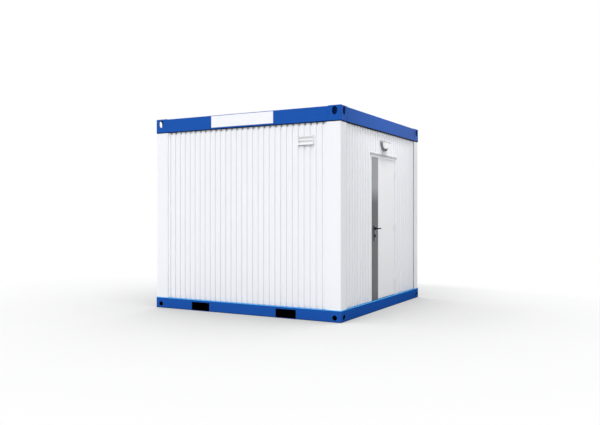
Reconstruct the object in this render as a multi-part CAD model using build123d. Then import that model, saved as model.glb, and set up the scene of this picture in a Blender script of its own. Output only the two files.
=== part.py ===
"""Sanitary container: a nearly square steel-framed cabin with ribbed walls, one door and forklift pockets.

Millimetres. The origin is on the ground, in the middle of the base frame. +X is the length,
with the door in the +X side, and +Z is up. Each side is drawn in a frame of its own: x runs
along the side, y = 0 is the outer face of the steel frame, and +y points into the cabin.
"""

import os

from build123d import *

# Overall size of the steel frame, and the bars and corners that it is made of.
LENGTH = 2990.0
DEPTH = 2975.0
HEIGHT = 2742.0
BASE_HEIGHT = 155.0
ROOF_HEIGHT = 195.0
RAIL_WIDTH = 92.0
EDGE_RADIUS = 10.0
FITTING_LEG = 185.0
FITTING_RISE = 6.0
FITTING_WALL = 12.0

# Lifting slots in the roof corners and lashing holes in the base corners.
HOLE_OFFSET = 91.0
SLOT_WIDTH = 73.0
SLOT_HEIGHT = 104.0
SLOT_DROP = 62.0
LASHING_RADIUS = 34.0
LASHING_DEPTH = 45.0
LASHING_HEIGHT = 59.0

# Forklift pockets: two tubes from the front to the back.
POCKET_WIDTH = 305.0
POCKET_HEIGHT = 115.0
POCKET_WALL = 6.0
POCKET_OFFSET = 692.0

# Floor and roof.
DECK_THICKNESS = 25.0
UNDERSIDE_HEIGHT = 40.0
UNDERSIDE_THICKNESS = 4.0
CEILING_THICKNESS = 40.0
ROOF_THICKNESS = 20.0
ROOF_DROP = 42.0
SEAM_COUNT = 4
SEAM_HEIGHT = 24.0
SEAM_WIDTH = 8.0

# Corner posts and ribbed walls.
POST_INSET = 8.0
POST_LEG_LENGTHWISE = 208.0
POST_LEG_DEPTHWISE = 176.0
WALL_INSET = 22.0
RIB_PITCH = 88.0
RIB_DEPTH = 11.0
GROOVE_MOUTH = 38.0
GROOVE_FLOOR = 22.0
GROOVE_LAND = 12.0

# Door frame and leaf.
LEAF_WIDTH = 887.0
LEAF_THICKNESS = 40.0
LEAF_GAP = 7.0
LEAF_TOP_GAP = 6.0
LEAF_FOOT_GAP = 6.0
FRAME_INSET = 19.0
FRAME_BORDER = 97.0
HEAD_HEIGHT = 70.0
OVER_DOOR = 307.0
STOP_LAP = 18.0
STOP_GAP = 6.0
SILL_HEIGHT = 18.0

# Hinges between the frame and the leaf.
HINGE_HEIGHT = 100.0
HINGE_SHARES = (0.1, 0.5, 0.9)
HINGE_STANDOFF = 13.0
HINGE_PLATE_WIDTH = 32.0
HINGE_PLATE_THICKNESS = 4.0
HINGE_PLATE_OFFSET = 8.0
KNUCKLE_RADIUS = 11.0
KNUCKLE_GAP = 0.3
PIN_RADIUS = 5.5
PIN_CLEARANCE = 0.3
PIN_END = 2.0

# Lock side of the leaf: steel plate, handle plates, levers and cylinder.
LOCK_PLATE_WIDTH = 226.0
LOCK_PLATE_THICKNESS = 2.0
LEVER_SETBACK = 99.0
LEVER_HEIGHT = 1164.0
LEVER_LENGTH = 130.0
LEVER_RADIUS = 9.0
LEVER_STANDOFF = 52.0
LEVER_CLEARANCE = 0.3
SPINDLE_SIDE = 9.0
SPINDLE_HOLE_RADIUS = 8.0
HANDLE_PLATE_WIDTH = 44.0
HANDLE_PLATE_ABOVE = 52.0
HANDLE_PLATE_BELOW = 178.0
HANDLE_PLATE_THICKNESS = 8.0
HANDLE_PLATE_RADIUS = 8.0
CYLINDER_RADIUS = 8.5
CYLINDER_DROP = 100.0
CYLINDER_CLEARANCE = 0.3
CYLINDER_STANDOFF = 2.0

# Drip cap over the door.
DRIP_LENGTH = 1004.0
DRIP_HEIGHT = 56.0
DRIP_REACH = 20.0
DRIP_FALL = 16.0
DRIP_SHEET = 4.0

# Lamp over the door.
LAMP_WIDTH = 250.0
LAMP_DROP = 120.0
LAMP_HEIGHT = 154.0
LAMP_REACH = 68.0
LAMP_BACK_THICKNESS = 14.0
LAMP_HOOD_FALL = 20.0
LAMP_HOOD_HEIGHT = 30.0
LAMP_CORNER = 60.0
BOWL_WIDTH = 226.0
BOWL_REACH = 48.0
BOWL_LIFT = 33.0
BOWL_CORNER = 55.0
BOWL_EDGE = 22.0
SENSOR_WIDTH = 64.0
SENSOR_REACH = 40.0
SENSOR_HEIGHT = 28.0
SENSOR_EDGE = 8.0

# Louvred vent at the top of the front wall.
VENT_MARGIN = 184.0
VENT_DROP = 165.0
VENT_WIDTH = 236.0
VENT_HEIGHT = 120.0
VENT_BORDER = 12.0
VENT_REACH = 16.0
VENT_LIP_REACH = 26.0
VENT_LIP_HEIGHT = 8.0
VENT_SLATS = 3
VENT_SLAT_LENGTHWAYS = 36.0
VENT_SLAT_THICKNESS = 4.0
VENT_SLAT_TILT_DEGREES = 42.0

# Bare name plate on the front roof rail.
SIGN_WIDTH = 1004.0
SIGN_HEIGHT = 159.0
SIGN_THICKNESS = 4.0

OVERRUN = 20.0
QUARTER_TURN_DEGREES = 90

# Derived places.
HALF_LENGTH = LENGTH / 2
HALF_DEPTH = DEPTH / 2
ROOF_BOTTOM = HEIGHT - ROOF_HEIGHT
STOREY = (BASE_HEIGHT, ROOF_BOTTOM)
ROOM_HALF_LENGTH = HALF_LENGTH - RAIL_WIDTH
ROOM_HALF_DEPTH = HALF_DEPTH - RAIL_WIDTH
LONG_WALL_HALF = HALF_LENGTH - POST_LEG_LENGTHWISE
SHORT_WALL_HALF = HALF_DEPTH - POST_LEG_DEPTHWISE
CORNERS = ((-1, -1), (1, -1), (1, 1), (-1, 1))
SIDES = ("front", "door", "back", "blind")
SIDE_DISTANCES = (HALF_DEPTH, HALF_LENGTH, HALF_DEPTH, HALF_LENGTH)
SIDE_HALVES = (HALF_LENGTH, HALF_DEPTH, HALF_LENGTH, HALF_DEPTH)
LEAF_HALF = LEAF_WIDTH / 2
LEAF_BOTTOM = BASE_HEIGHT + LEAF_FOOT_GAP
HEAD_TOP = ROOF_BOTTOM - OVER_DOOR
HEAD_BOTTOM = HEAD_TOP - HEAD_HEIGHT
LEAF_TOP = HEAD_BOTTOM - LEAF_TOP_GAP
LEAF_HEIGHT = LEAF_TOP - LEAF_BOTTOM
LEAF_BACK = FRAME_INSET + LEAF_THICKNESS
LEAF_FACE = FRAME_INSET - LOCK_PLATE_THICKNESS
REBATE_HALF = LEAF_HALF + LEAF_GAP
FRAME_HALF = LEAF_HALF + FRAME_BORDER
STOP_HALF = LEAF_HALF - STOP_LAP
STOP_FACE = LEAF_BACK + STOP_GAP
HINGE_X = LEAF_HALF + LEAF_GAP / 2
HINGE_Y = FRAME_INSET - HINGE_STANDOFF
HINGE_PLACES = [LEAF_BOTTOM + share * LEAF_HEIGHT for share in HINGE_SHARES]
LEVER_X = LEVER_SETBACK - LEAF_HALF
OUTER_LEVER_ROOT = LEAF_FACE - LEVER_CLEARANCE
INNER_LEVER_ROOT = LEAF_BACK + LEVER_CLEARANCE
CYLINDER_HEIGHT = LEVER_HEIGHT - CYLINDER_DROP
POCKET_OUTER_HALF = POCKET_WIDTH / 2 + POCKET_WALL
POCKET_OUTER_HEIGHT = POCKET_HEIGHT + 2 * POCKET_WALL
DRIP_TOP = HEAD_BOTTOM + DRIP_HEIGHT
LAMP_TOP = ROOF_BOTTOM - LAMP_DROP
LAMP_BOTTOM = LAMP_TOP - LAMP_HEIGHT
HOOD_BOTTOM = LAMP_TOP - LAMP_HOOD_HEIGHT
BOWL_BOTTOM = LAMP_BOTTOM + BOWL_LIFT
VENT_PLACE = LONG_WALL_HALF - VENT_MARGIN - VENT_WIDTH / 2
VENT_TOP = ROOF_BOTTOM - VENT_DROP
VENT_BOTTOM = VENT_TOP - VENT_HEIGHT
VENT_SPAN = (VENT_PLACE - VENT_WIDTH / 2, VENT_PLACE + VENT_WIDTH / 2)
VENT_CLEAR = (VENT_SPAN[0] + VENT_BORDER, VENT_SPAN[1] - VENT_BORDER)
VENT_CLEAR_RISE = (VENT_BOTTOM + VENT_BORDER, VENT_TOP - VENT_BORDER)
SIGN_TOP = HEIGHT - EDGE_RADIUS


def block(xs, ys, zs):
    """Box between a low and a high value on each axis."""
    middle = Pos(sum(xs) / 2, sum(ys) / 2, sum(zs) / 2)
    return middle * Box(xs[1] - xs[0], ys[1] - ys[0], zs[1] - zs[0])


def upright(points, zs):
    """Plan outline raised between two heights."""
    return Pos(0, 0, zs[0]) * extrude(make_face(Polyline(*points, close=True)), zs[1] - zs[0])


def lengthwise(points, xs):
    """Outline in y and z, run along x."""
    outline = Plane.YZ * make_face(Polyline(*points, close=True))
    return Pos(xs[0], 0, 0) * extrude(outline, xs[1] - xs[0])


def through_face(outline, x, z, ys):
    """Outline drawn as seen from outside, run inwards between two depths."""
    face = Plane((x, ys[0], z), x_dir=(1, 0, 0), z_dir=(0, 1, 0)) * outline
    return extrude(face, ys[1] - ys[0])


def rod_in(x, z, radius, ys):
    """Round bar or hole that runs inwards."""
    return through_face(Circle(radius), x, z, ys)


def on_side(side, shape):
    """Puts a shape drawn in a side's own frame on that side of the cabin."""
    index = SIDES.index(side)
    return Rot(0, 0, index * QUARTER_TURN_DEGREES) * Pos(0, -SIDE_DISTANCES[index], 0) * shape


def rail(side, zs):
    """Frame bar between two corners, with its outer edges rounded."""
    half = SIDE_HALVES[SIDES.index(side)] - FITTING_LEG
    bar = block((-half, half), (0, RAIL_WIDTH), zs)
    return fillet(bar.edges().filter_by(Axis.X).group_by(Axis.Y)[0], EDGE_RADIUS)


def pocketed_rail(side):
    """Base rail with two notches for the forklift tubes."""
    bar = rail(side, (0, BASE_HEIGHT))
    for place in (-POCKET_OFFSET, POCKET_OFFSET):
        width = (place - POCKET_OUTER_HALF, place + POCKET_OUTER_HALF)
        bar -= block(width, (-OVERRUN, RAIL_WIDTH + OVERRUN), (-OVERRUN, POCKET_OUTER_HEIGHT))
    return on_side(side, bar)


def pocket_tube(place):
    """Open rectangular tube from the front face to the back face."""
    run = (-HALF_DEPTH, HALF_DEPTH)
    outside = (place - POCKET_OUTER_HALF, place + POCKET_OUTER_HALF)
    inside = (place - POCKET_WIDTH / 2, place + POCKET_WIDTH / 2)
    bore = block(inside, (-HALF_DEPTH - OVERRUN, HALF_DEPTH + OVERRUN),
                 (POCKET_WALL, POCKET_WALL + POCKET_HEIGHT))
    return block(outside, run, (0, POCKET_OUTER_HEIGHT)) - bore


def corner_span(sign, half, near, far):
    """Low and high value of a stretch measured inwards from one end of the frame."""
    return tuple(sorted((sign * (half - near), sign * (half - far))))


def corner_angle(corner, starts, leg_x, leg_y, depth, zs):
    """Upright angle section in a corner: two legs of one depth, measured from the frame."""
    sx, sy = corner
    along_x = block(corner_span(sx, HALF_LENGTH, starts, leg_x),
                    corner_span(sy, HALF_DEPTH, starts, depth), zs)
    along_y = block(corner_span(sx, HALF_LENGTH, starts, depth),
                    corner_span(sy, HALF_DEPTH, starts, leg_y), zs)
    return along_x + along_y


def rounded_corner(solid, corner, zs):
    """Rounds the edges of a corner piece that lie on the outside of the frame."""
    sx, sy = corner
    tip = (sx * HALF_LENGTH, sy * HALF_DEPTH, sum(zs) / 2)
    edges = solid.edges()
    outer = edges.filter_by(Axis.Z).sort_by_distance(tip)[:1]
    outer += edges.filter_by(Axis.X).sort_by_distance(tip)[:2]
    outer += edges.filter_by(Axis.Y).sort_by_distance(tip)[:2]
    return fillet(outer, EDGE_RADIUS)


def roof_fitting(corner):
    """Hollow roof corner with an upright lifting slot in each outer face."""
    zs = (ROOF_BOTTOM, HEIGHT + FITTING_RISE)
    shell = corner_angle(corner, 0, FITTING_LEG, FITTING_LEG, RAIL_WIDTH, zs)
    shell = rounded_corner(shell, corner, zs)
    leg = FITTING_LEG - FITTING_WALL
    hollow = (zs[0] + FITTING_WALL, zs[1] - FITTING_WALL)
    shell -= corner_angle(corner, FITTING_WALL, leg, leg, RAIL_WIDTH - FITTING_WALL, hollow)
    slot = SlotOverall(SLOT_HEIGHT, SLOT_WIDTH, rotation=QUARTER_TURN_DEGREES)
    cutter = through_face(slot, 0, HEIGHT - SLOT_DROP, (-OVERRUN, FITTING_WALL + OVERRUN))
    for side, place in corner_faces(corner):
        shell -= on_side(side, Pos(place, 0, 0) * cutter)
    return shell


def corner_faces(corner):
    """The two sides that meet in a corner, each with its hole's place along that side."""
    sx, sy = corner
    lengthways = "front" if sy < 0 else "back"
    depthways = "door" if sx > 0 else "blind"
    return ((lengthways, -sx * sy * (HALF_LENGTH - HOLE_OFFSET)),
            (depthways, sx * sy * (HALF_DEPTH - HOLE_OFFSET)))


def base_fitting(corner):
    """Solid base corner with a round lashing hole in each outer face."""
    zs = (0, BASE_HEIGHT)
    solid = corner_angle(corner, 0, FITTING_LEG, FITTING_LEG, RAIL_WIDTH, zs)
    solid = rounded_corner(solid, corner, zs)
    for side, place in corner_faces(corner):
        hole = rod_in(place, LASHING_HEIGHT, LASHING_RADIUS, (-OVERRUN, LASHING_DEPTH))
        solid -= on_side(side, hole)
    return solid


def corner_post(corner):
    """Angle post that stands slightly inside the frame, with its outer edge rounded."""
    sx, sy = corner
    post = corner_angle(corner, POST_INSET, POST_LEG_LENGTHWISE, POST_LEG_DEPTHWISE,
                        RAIL_WIDTH, STOREY)
    tip = (sx * (HALF_LENGTH - POST_INSET), sy * (HALF_DEPTH - POST_INSET), sum(STOREY) / 2)
    return fillet(post.edges().filter_by(Axis.Z).sort_by_distance(tip)[:1], EDGE_RADIUS)


def groove_places(half):
    """Middles of the grooves of a whole wall, evenly spaced about its middle."""
    room = half - GROOVE_MOUTH / 2 - GROOVE_LAND
    count = int(2 * room / RIB_PITCH) + 1
    return [(index - (count - 1) / 2) * RIB_PITCH for index in range(count)]


def ribbed_wall(half, xs, zs):
    """Stretch of a wall with upright grooves in its outer face and a flat inner face."""
    margin = GROOVE_MOUTH / 2 + GROOVE_LAND
    outline = [(xs[0], RAIL_WIDTH), (xs[0], WALL_INSET)]
    for place in groove_places(half):
        if xs[0] + margin <= place <= xs[1] - margin:
            outline += [
                (place - GROOVE_MOUTH / 2, WALL_INSET),
                (place - GROOVE_FLOOR / 2, WALL_INSET + RIB_DEPTH),
                (place + GROOVE_FLOOR / 2, WALL_INSET + RIB_DEPTH),
                (place + GROOVE_MOUTH / 2, WALL_INSET),
            ]
    outline += [(xs[1], WALL_INSET), (xs[1], RAIL_WIDTH)]
    return upright(outline, zs)


def front_wall():
    """Front wall with an air hole behind the vent."""
    wall = ribbed_wall(LONG_WALL_HALF, (-LONG_WALL_HALF, LONG_WALL_HALF), STOREY)
    wall -= block(VENT_CLEAR, (0, RAIL_WIDTH + OVERRUN), VENT_CLEAR_RISE)
    return on_side("front", wall)


def door_wall(xs, zs):
    """Stretch of the wall around the door."""
    return on_side("door", ribbed_wall(SHORT_WALL_HALF, xs, zs))


def jamb(sign):
    """Upright of the door frame, with the stop that the leaf closes on."""
    upright_bar = block(sorted((sign * REBATE_HALF, sign * FRAME_HALF)),
                        (FRAME_INSET, RAIL_WIDTH), (BASE_HEIGHT, HEAD_TOP))
    stop = block(sorted((sign * STOP_HALF, sign * REBATE_HALF)),
                 (STOP_FACE, RAIL_WIDTH), (BASE_HEIGHT, HEAD_BOTTOM))
    return on_side("door", upright_bar + stop)


def door_head():
    """Top of the door frame, with its stop."""
    bar = block((-REBATE_HALF, REBATE_HALF), (FRAME_INSET, RAIL_WIDTH), (HEAD_BOTTOM, HEAD_TOP))
    stop = block((-STOP_HALF, STOP_HALF), (STOP_FACE, RAIL_WIDTH),
                 (LEAF_TOP - STOP_LAP, HEAD_BOTTOM))
    return on_side("door", bar + stop)


def door_sill():
    """Raised threshold behind the foot of the leaf."""
    rise = (BASE_HEIGHT, BASE_HEIGHT + SILL_HEIGHT)
    return on_side("door", block((-STOP_HALF, STOP_HALF), (STOP_FACE, RAIL_WIDTH), rise))


def lock_holes(ys, spindle_radius):
    """Cutters for the lever's spindle and for the lock cylinder."""
    cylinder = rod_in(LEVER_X, CYLINDER_HEIGHT, CYLINDER_RADIUS + CYLINDER_CLEARANCE, ys)
    return rod_in(LEVER_X, LEVER_HEIGHT, spindle_radius, ys) + cylinder


def door_leaf():
    """Plain insulated leaf, bored for the lock."""
    leaf = block((-LEAF_HALF, LEAF_HALF), (FRAME_INSET, LEAF_BACK), (LEAF_BOTTOM, LEAF_TOP))
    leaf -= lock_holes((0, LEAF_BACK + OVERRUN), SPINDLE_HOLE_RADIUS)
    return on_side("door", leaf)


def lock_plate():
    """Full-height steel plate on the lock side of the leaf."""
    plate = block((-LEAF_HALF, LOCK_PLATE_WIDTH - LEAF_HALF), (LEAF_FACE, FRAME_INSET),
                  (LEAF_BOTTOM, LEAF_TOP))
    plate -= lock_holes((0, LEAF_BACK), SPINDLE_HOLE_RADIUS)
    return on_side("door", plate)


def handle_plate(ys):
    """Long plate behind a lever, with the cylinder below it."""
    height = HANDLE_PLATE_ABOVE + HANDLE_PLATE_BELOW
    middle = LEVER_HEIGHT + (HANDLE_PLATE_ABOVE - HANDLE_PLATE_BELOW) / 2
    outline = RectangleRounded(HANDLE_PLATE_WIDTH, height, HANDLE_PLATE_RADIUS)
    plate = through_face(outline, LEVER_X, middle, ys)
    plate -= lock_holes((ys[0] - OVERRUN, ys[1] + OVERRUN), LEVER_RADIUS + LEVER_CLEARANCE)
    return on_side("door", plate)


def lever(root, tip):
    """Round lever bent towards the hinges; its neck runs from the root depth to the tip depth."""
    neck = rod_in(LEVER_X, LEVER_HEIGHT, LEVER_RADIUS, sorted((root, tip)))
    elbow = Pos(LEVER_X, tip, LEVER_HEIGHT)
    bar = Rot(0, QUARTER_TURN_DEGREES, 0) * Cylinder(LEVER_RADIUS, LEVER_LENGTH)
    grip = elbow * Pos(LEVER_LENGTH / 2, 0, 0) * bar
    end = elbow * Pos(LEVER_LENGTH, 0, 0) * Sphere(LEVER_RADIUS)
    return neck + elbow * Sphere(LEVER_RADIUS) + grip + end


def outside_lever():
    """Outer lever with the square spindle that crosses the leaf."""
    outer = lever(OUTER_LEVER_ROOT, LEAF_FACE - LEVER_STANDOFF)
    half = SPINDLE_SIDE / 2
    spindle = block((LEVER_X - half, LEVER_X + half), (OUTER_LEVER_ROOT, INNER_LEVER_ROOT),
                    (LEVER_HEIGHT - half, LEVER_HEIGHT + half))
    return on_side("door", outer + spindle)


def lock_cylinder():
    """Round lock cylinder that stands a little proud of both handle plates."""
    reach = HANDLE_PLATE_THICKNESS + CYLINDER_STANDOFF
    return on_side("door", rod_in(LEVER_X, CYLINDER_HEIGHT, CYLINDER_RADIUS,
                                  (LEAF_FACE - reach, LEAF_BACK + reach)))


def hinge_half(sign, knuckle, flange):
    """Hinge plate and knuckle; the plate lies on one side of the axis."""
    plate_y = (FRAME_INSET - HINGE_PLATE_THICKNESS, FRAME_INSET)
    near = HINGE_X + sign * HINGE_PLATE_OFFSET
    plate = block(sorted((near, near + sign * HINGE_PLATE_WIDTH)), plate_y, flange)
    web = block(sorted((HINGE_X, near)), plate_y, knuckle)
    barrel = Pos(HINGE_X, HINGE_Y, sum(knuckle) / 2) * Cylinder(KNUCKLE_RADIUS, knuckle[1] - knuckle[0])
    return plate + web + barrel


def frame_hinge(middle):
    """Lower knuckle on the frame, with the pin that carries the leaf."""
    flange = (middle - HINGE_HEIGHT / 2, middle + HINGE_HEIGHT / 2)
    pin = (middle - KNUCKLE_GAP, flange[1] - PIN_END)
    shaft = Pos(HINGE_X, HINGE_Y, sum(pin) / 2) * Cylinder(PIN_RADIUS, pin[1] - pin[0])
    return on_side("door", hinge_half(1, (flange[0], middle - KNUCKLE_GAP / 2), flange) + shaft)


def leaf_hinge(middle):
    """Upper knuckle on the leaf, bored for the pin."""
    flange = (middle - HINGE_HEIGHT / 2, middle + HINGE_HEIGHT / 2)
    half = hinge_half(-1, (middle + KNUCKLE_GAP / 2, flange[1]), flange)
    bore = Pos(HINGE_X, HINGE_Y, middle) * Cylinder(PIN_RADIUS + PIN_CLEARANCE, HINGE_HEIGHT + OVERRUN)
    return on_side("door", half - bore)


def drip_cap():
    """Bent sheet that throws rain off the top of the door."""
    lip = FRAME_INSET - DRIP_REACH
    bend = DRIP_TOP - DRIP_FALL
    outline = [
        (FRAME_INSET, DRIP_TOP),
        (lip, bend),
        (lip, HEAD_BOTTOM),
        (lip + DRIP_SHEET, HEAD_BOTTOM),
        (lip + DRIP_SHEET, bend - DRIP_SHEET),
        (FRAME_INSET, DRIP_TOP - DRIP_SHEET),
    ]
    return on_side("door", lengthwise(outline, (-DRIP_LENGTH / 2, DRIP_LENGTH / 2)))


def lamp_housing():
    """Back plate with rounded lower corners, under a sloping hood."""
    back = (WALL_INSET - LAMP_BACK_THICKNESS, WALL_INSET)
    half = (-LAMP_WIDTH / 2, LAMP_WIDTH / 2)
    plate = block(half, back, (LAMP_BOTTOM, HOOD_BOTTOM))
    plate = fillet(plate.edges().filter_by(Axis.Y).group_by(Axis.Z)[0], LAMP_CORNER)
    front = WALL_INSET - LAMP_REACH
    hood = lengthwise([(WALL_INSET, HOOD_BOTTOM), (WALL_INSET, LAMP_TOP),
                       (front, LAMP_TOP - LAMP_HOOD_FALL), (front, HOOD_BOTTOM)], half)
    return on_side("door", plate + hood)


def lamp_bowl():
    """Half-moon diffuser below the hood."""
    back = WALL_INSET - LAMP_BACK_THICKNESS
    bowl = block((-BOWL_WIDTH / 2, BOWL_WIDTH / 2), (back - BOWL_REACH, back), (BOWL_BOTTOM, HOOD_BOTTOM))
    bowl = fillet(bowl.edges().filter_by(Axis.Y).group_by(Axis.Z)[0], BOWL_CORNER)
    rim = bowl.faces().sort_by(Axis.Y)[0].edges().sort_by(Axis.Z)[:-1]
    return on_side("door", fillet(rim, BOWL_EDGE))


def lamp_sensor():
    """Small block under the diffuser."""
    back = WALL_INSET - LAMP_BACK_THICKNESS
    body = block((-SENSOR_WIDTH / 2, SENSOR_WIDTH / 2), (back - SENSOR_REACH, back),
                 (BOWL_BOTTOM - SENSOR_HEIGHT, BOWL_BOTTOM))
    front = body.faces().sort_by(Axis.Y)[0].edges().sort_by(Axis.Z)[:-1]
    return on_side("door", fillet(front, SENSOR_EDGE))


def vent_frame():
    """Frame around the louvres, with a lip along its foot."""
    front = WALL_INSET - VENT_REACH
    ring = block(VENT_SPAN, (front, WALL_INSET), (VENT_BOTTOM, VENT_TOP))
    ring -= block(VENT_CLEAR, (front - OVERRUN, WALL_INSET + OVERRUN), VENT_CLEAR_RISE)
    lip = block(VENT_SPAN, (WALL_INSET - VENT_LIP_REACH, front), (VENT_BOTTOM, VENT_BOTTOM + VENT_LIP_HEIGHT))
    return on_side("front", ring + lip)


def vent_slats():
    """Slanting louvres between the sides of the vent."""
    rise = VENT_CLEAR_RISE[1] - VENT_CLEAR_RISE[0]
    width = VENT_CLEAR[1] - VENT_CLEAR[0]
    slats = []
    for index in range(VENT_SLATS):
        height = VENT_CLEAR_RISE[0] + (index + 1) * rise / (VENT_SLATS + 1)
        slat = Rot(VENT_SLAT_TILT_DEGREES, 0, 0) * Box(width, VENT_SLAT_LENGTHWAYS, VENT_SLAT_THICKNESS)
        slats.append(on_side("front", Pos(VENT_PLACE, WALL_INSET, height) * slat))
    return slats


def sign_plate():
    """Bare plate on the face of the front roof rail."""
    return on_side("front", block((-SIGN_WIDTH / 2, SIGN_WIDTH / 2), (-SIGN_THICKNESS, 0),
                                  (SIGN_TOP - SIGN_HEIGHT, SIGN_TOP)))


def room_slab(zs):
    """Slab that fills the frame between its rails."""
    return block((-ROOM_HALF_LENGTH, ROOM_HALF_LENGTH), (-ROOM_HALF_DEPTH, ROOM_HALF_DEPTH), zs)


def underside_sheets():
    """Sheets under the floor, beside and between the forklift tubes."""
    zs = (UNDERSIDE_HEIGHT, UNDERSIDE_HEIGHT + UNDERSIDE_THICKNESS)
    inner = POCKET_OFFSET - POCKET_OUTER_HALF
    outer = POCKET_OFFSET + POCKET_OUTER_HALF
    spans = ((-ROOM_HALF_LENGTH, -outer), (-inner, inner), (outer, ROOM_HALF_LENGTH))
    return [block(span, (-ROOM_HALF_DEPTH, ROOM_HALF_DEPTH), zs) for span in spans]


def roof_sheet():
    """Recessed roof sheet with standing seams that run front to back."""
    top = HEIGHT - ROOF_DROP
    sheet = room_slab((top - ROOF_THICKNESS, top))
    pitch = 2 * ROOM_HALF_LENGTH / (SEAM_COUNT + 1)
    for index in range(SEAM_COUNT):
        place = (index + 1) * pitch - ROOM_HALF_LENGTH
        sheet += block((place - SEAM_WIDTH / 2, place + SEAM_WIDTH / 2),
                       (-ROOM_HALF_DEPTH, ROOM_HALF_DEPTH), (top, top + SEAM_HEIGHT))
    return sheet


def pieces():
    """Every named piece of the cabin; a list is several separate solids of one piece."""
    whole_long = (-LONG_WALL_HALF, LONG_WALL_HALF)
    whole_short = (-SHORT_WALL_HALF, SHORT_WALL_HALF)
    back_wall = ribbed_wall(LONG_WALL_HALF, whole_long, STOREY)
    blind_wall = ribbed_wall(SHORT_WALL_HALF, whole_short, STOREY)
    base = (0, BASE_HEIGHT)
    roof = (ROOF_BOTTOM, HEIGHT)
    handle_back = LEAF_FACE - HANDLE_PLATE_THICKNESS
    posts = dict(zip(("front_blind", "front_door", "back_door", "back_blind"), CORNERS))
    named = {
        "base_rail_front": pocketed_rail("front"),
        "base_rail_back": pocketed_rail("back"),
        "base_rail_door_side": on_side("door", rail("door", base)),
        "base_rail_blind_side": on_side("blind", rail("blind", base)),
        "base_corners": [base_fitting(corner) for corner in CORNERS],
        "forklift_tubes": [pocket_tube(place) for place in (-POCKET_OFFSET, POCKET_OFFSET)],
        "floor_deck": room_slab((BASE_HEIGHT - DECK_THICKNESS, BASE_HEIGHT)),
        "underside_sheets": underside_sheets(),
        "roof_rail_front": on_side("front", rail("front", roof)),
        "roof_rail_back": on_side("back", rail("back", roof)),
        "roof_rail_door_side": on_side("door", rail("door", roof)),
        "roof_rail_blind_side": on_side("blind", rail("blind", roof)),
        "roof_corners": [roof_fitting(corner) for corner in CORNERS],
        "roof_sheet": roof_sheet(),
        "ceiling_panel": room_slab((ROOF_BOTTOM, ROOF_BOTTOM + CEILING_THICKNESS)),
        "front_wall": front_wall(),
        "back_wall": on_side("back", back_wall),
        "blind_side_wall": on_side("blind", blind_wall),
        "door_wall_lock_side": door_wall((-SHORT_WALL_HALF, -FRAME_HALF), STOREY),
        "door_wall_hinge_side": door_wall((FRAME_HALF, SHORT_WALL_HALF), STOREY),
        "door_wall_over": door_wall((-FRAME_HALF, FRAME_HALF), (HEAD_TOP, ROOF_BOTTOM)),
        "door_jamb_lock_side": jamb(-1),
        "door_jamb_hinge_side": jamb(1),
        "door_head": door_head(),
        "door_sill": door_sill(),
        "door_hinges_frame": [frame_hinge(place) for place in HINGE_PLACES],
        "door_drip_cap": drip_cap(),
        "lamp_housing": lamp_housing(),
        "lamp_bowl": lamp_bowl(),
        "lamp_sensor": lamp_sensor(),
        "vent_frame": vent_frame(),
        "vent_slats": vent_slats(),
        "sign_plate": sign_plate(),
        "door_leaf": door_leaf(),
        "door_lock_plate": lock_plate(),
        "door_hinges_leaf": [leaf_hinge(place) for place in HINGE_PLACES],
        "handle_plate_outside": handle_plate((handle_back, LEAF_FACE)),
        "handle_plate_inside": handle_plate((LEAF_BACK, LEAF_BACK + HANDLE_PLATE_THICKNESS)),
        "lock_cylinder": lock_cylinder(),
        "lever_outside": outside_lever(),
        "lever_inside": on_side("door", lever(INNER_LEVER_ROOT, LEAF_BACK + LEVER_STANDOFF)),
    }
    for name, corner in posts.items():
        named["corner_post_" + name] = corner_post(corner)
    return named


def main():
    os.makedirs("parts", exist_ok=True)
    for name, piece in pieces().items():
        solids = piece if isinstance(piece, list) else [piece]
        export_step(Compound(children=solids), os.path.join("parts", name + ".step"))


main()
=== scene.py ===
"""Looks of a steel-framed sanitary container, built around its packed solids.

Metres, in the frame of the solids. Pieces on a side are drawn in that side's own frame: x runs
along the side, y = 0 is the outer face of the steel frame, +y points into the cabin, z is up.
"""

import math

import bmesh
import bpy
from bpy.props import FloatProperty, FloatVectorProperty, IntProperty, PointerProperty
from mathutils import Matrix, Vector


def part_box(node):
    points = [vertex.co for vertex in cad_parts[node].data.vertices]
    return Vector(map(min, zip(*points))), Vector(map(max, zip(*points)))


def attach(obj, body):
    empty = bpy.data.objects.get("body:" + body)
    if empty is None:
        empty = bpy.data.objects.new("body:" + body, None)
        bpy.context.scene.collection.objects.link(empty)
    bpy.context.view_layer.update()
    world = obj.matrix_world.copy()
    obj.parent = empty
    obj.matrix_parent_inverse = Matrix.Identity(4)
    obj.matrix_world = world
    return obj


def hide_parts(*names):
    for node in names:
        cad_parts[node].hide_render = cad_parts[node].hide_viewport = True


bl_info = {
    "name": "Sanitary container looks",
    "version": (1, 0, 0),
    "blender": (4, 5, 0),
    "location": "View3D > Sidebar > Cabin",
    "description": "Ribbed walls, door, lamp, vent and finishes of a steel-framed cabin",
    "category": "Object",
}

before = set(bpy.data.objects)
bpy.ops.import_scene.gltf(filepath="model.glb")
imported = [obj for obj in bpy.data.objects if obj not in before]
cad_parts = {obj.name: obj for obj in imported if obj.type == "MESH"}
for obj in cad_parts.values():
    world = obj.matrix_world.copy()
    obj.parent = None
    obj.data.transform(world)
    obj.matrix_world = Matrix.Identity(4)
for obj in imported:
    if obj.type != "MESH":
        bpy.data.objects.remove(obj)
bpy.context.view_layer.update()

SIDES = ("front", "door", "back", "blind")
LENGTHWISE = ("front", "back")
CORNER_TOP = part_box("base_corners")[1]
HALF_LENGTH, HALF_DEPTH = CORNER_TOP.x, CORNER_TOP.y
QUARTER = math.pi / 2
MERGE = 1e-5
FINISH_PREFIX = "cabin_"


# Sizes and colours that a user would change.

def length(label, about, value):
    return FloatProperty(name=label, description=about, default=value, unit="LENGTH", precision=4)


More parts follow.
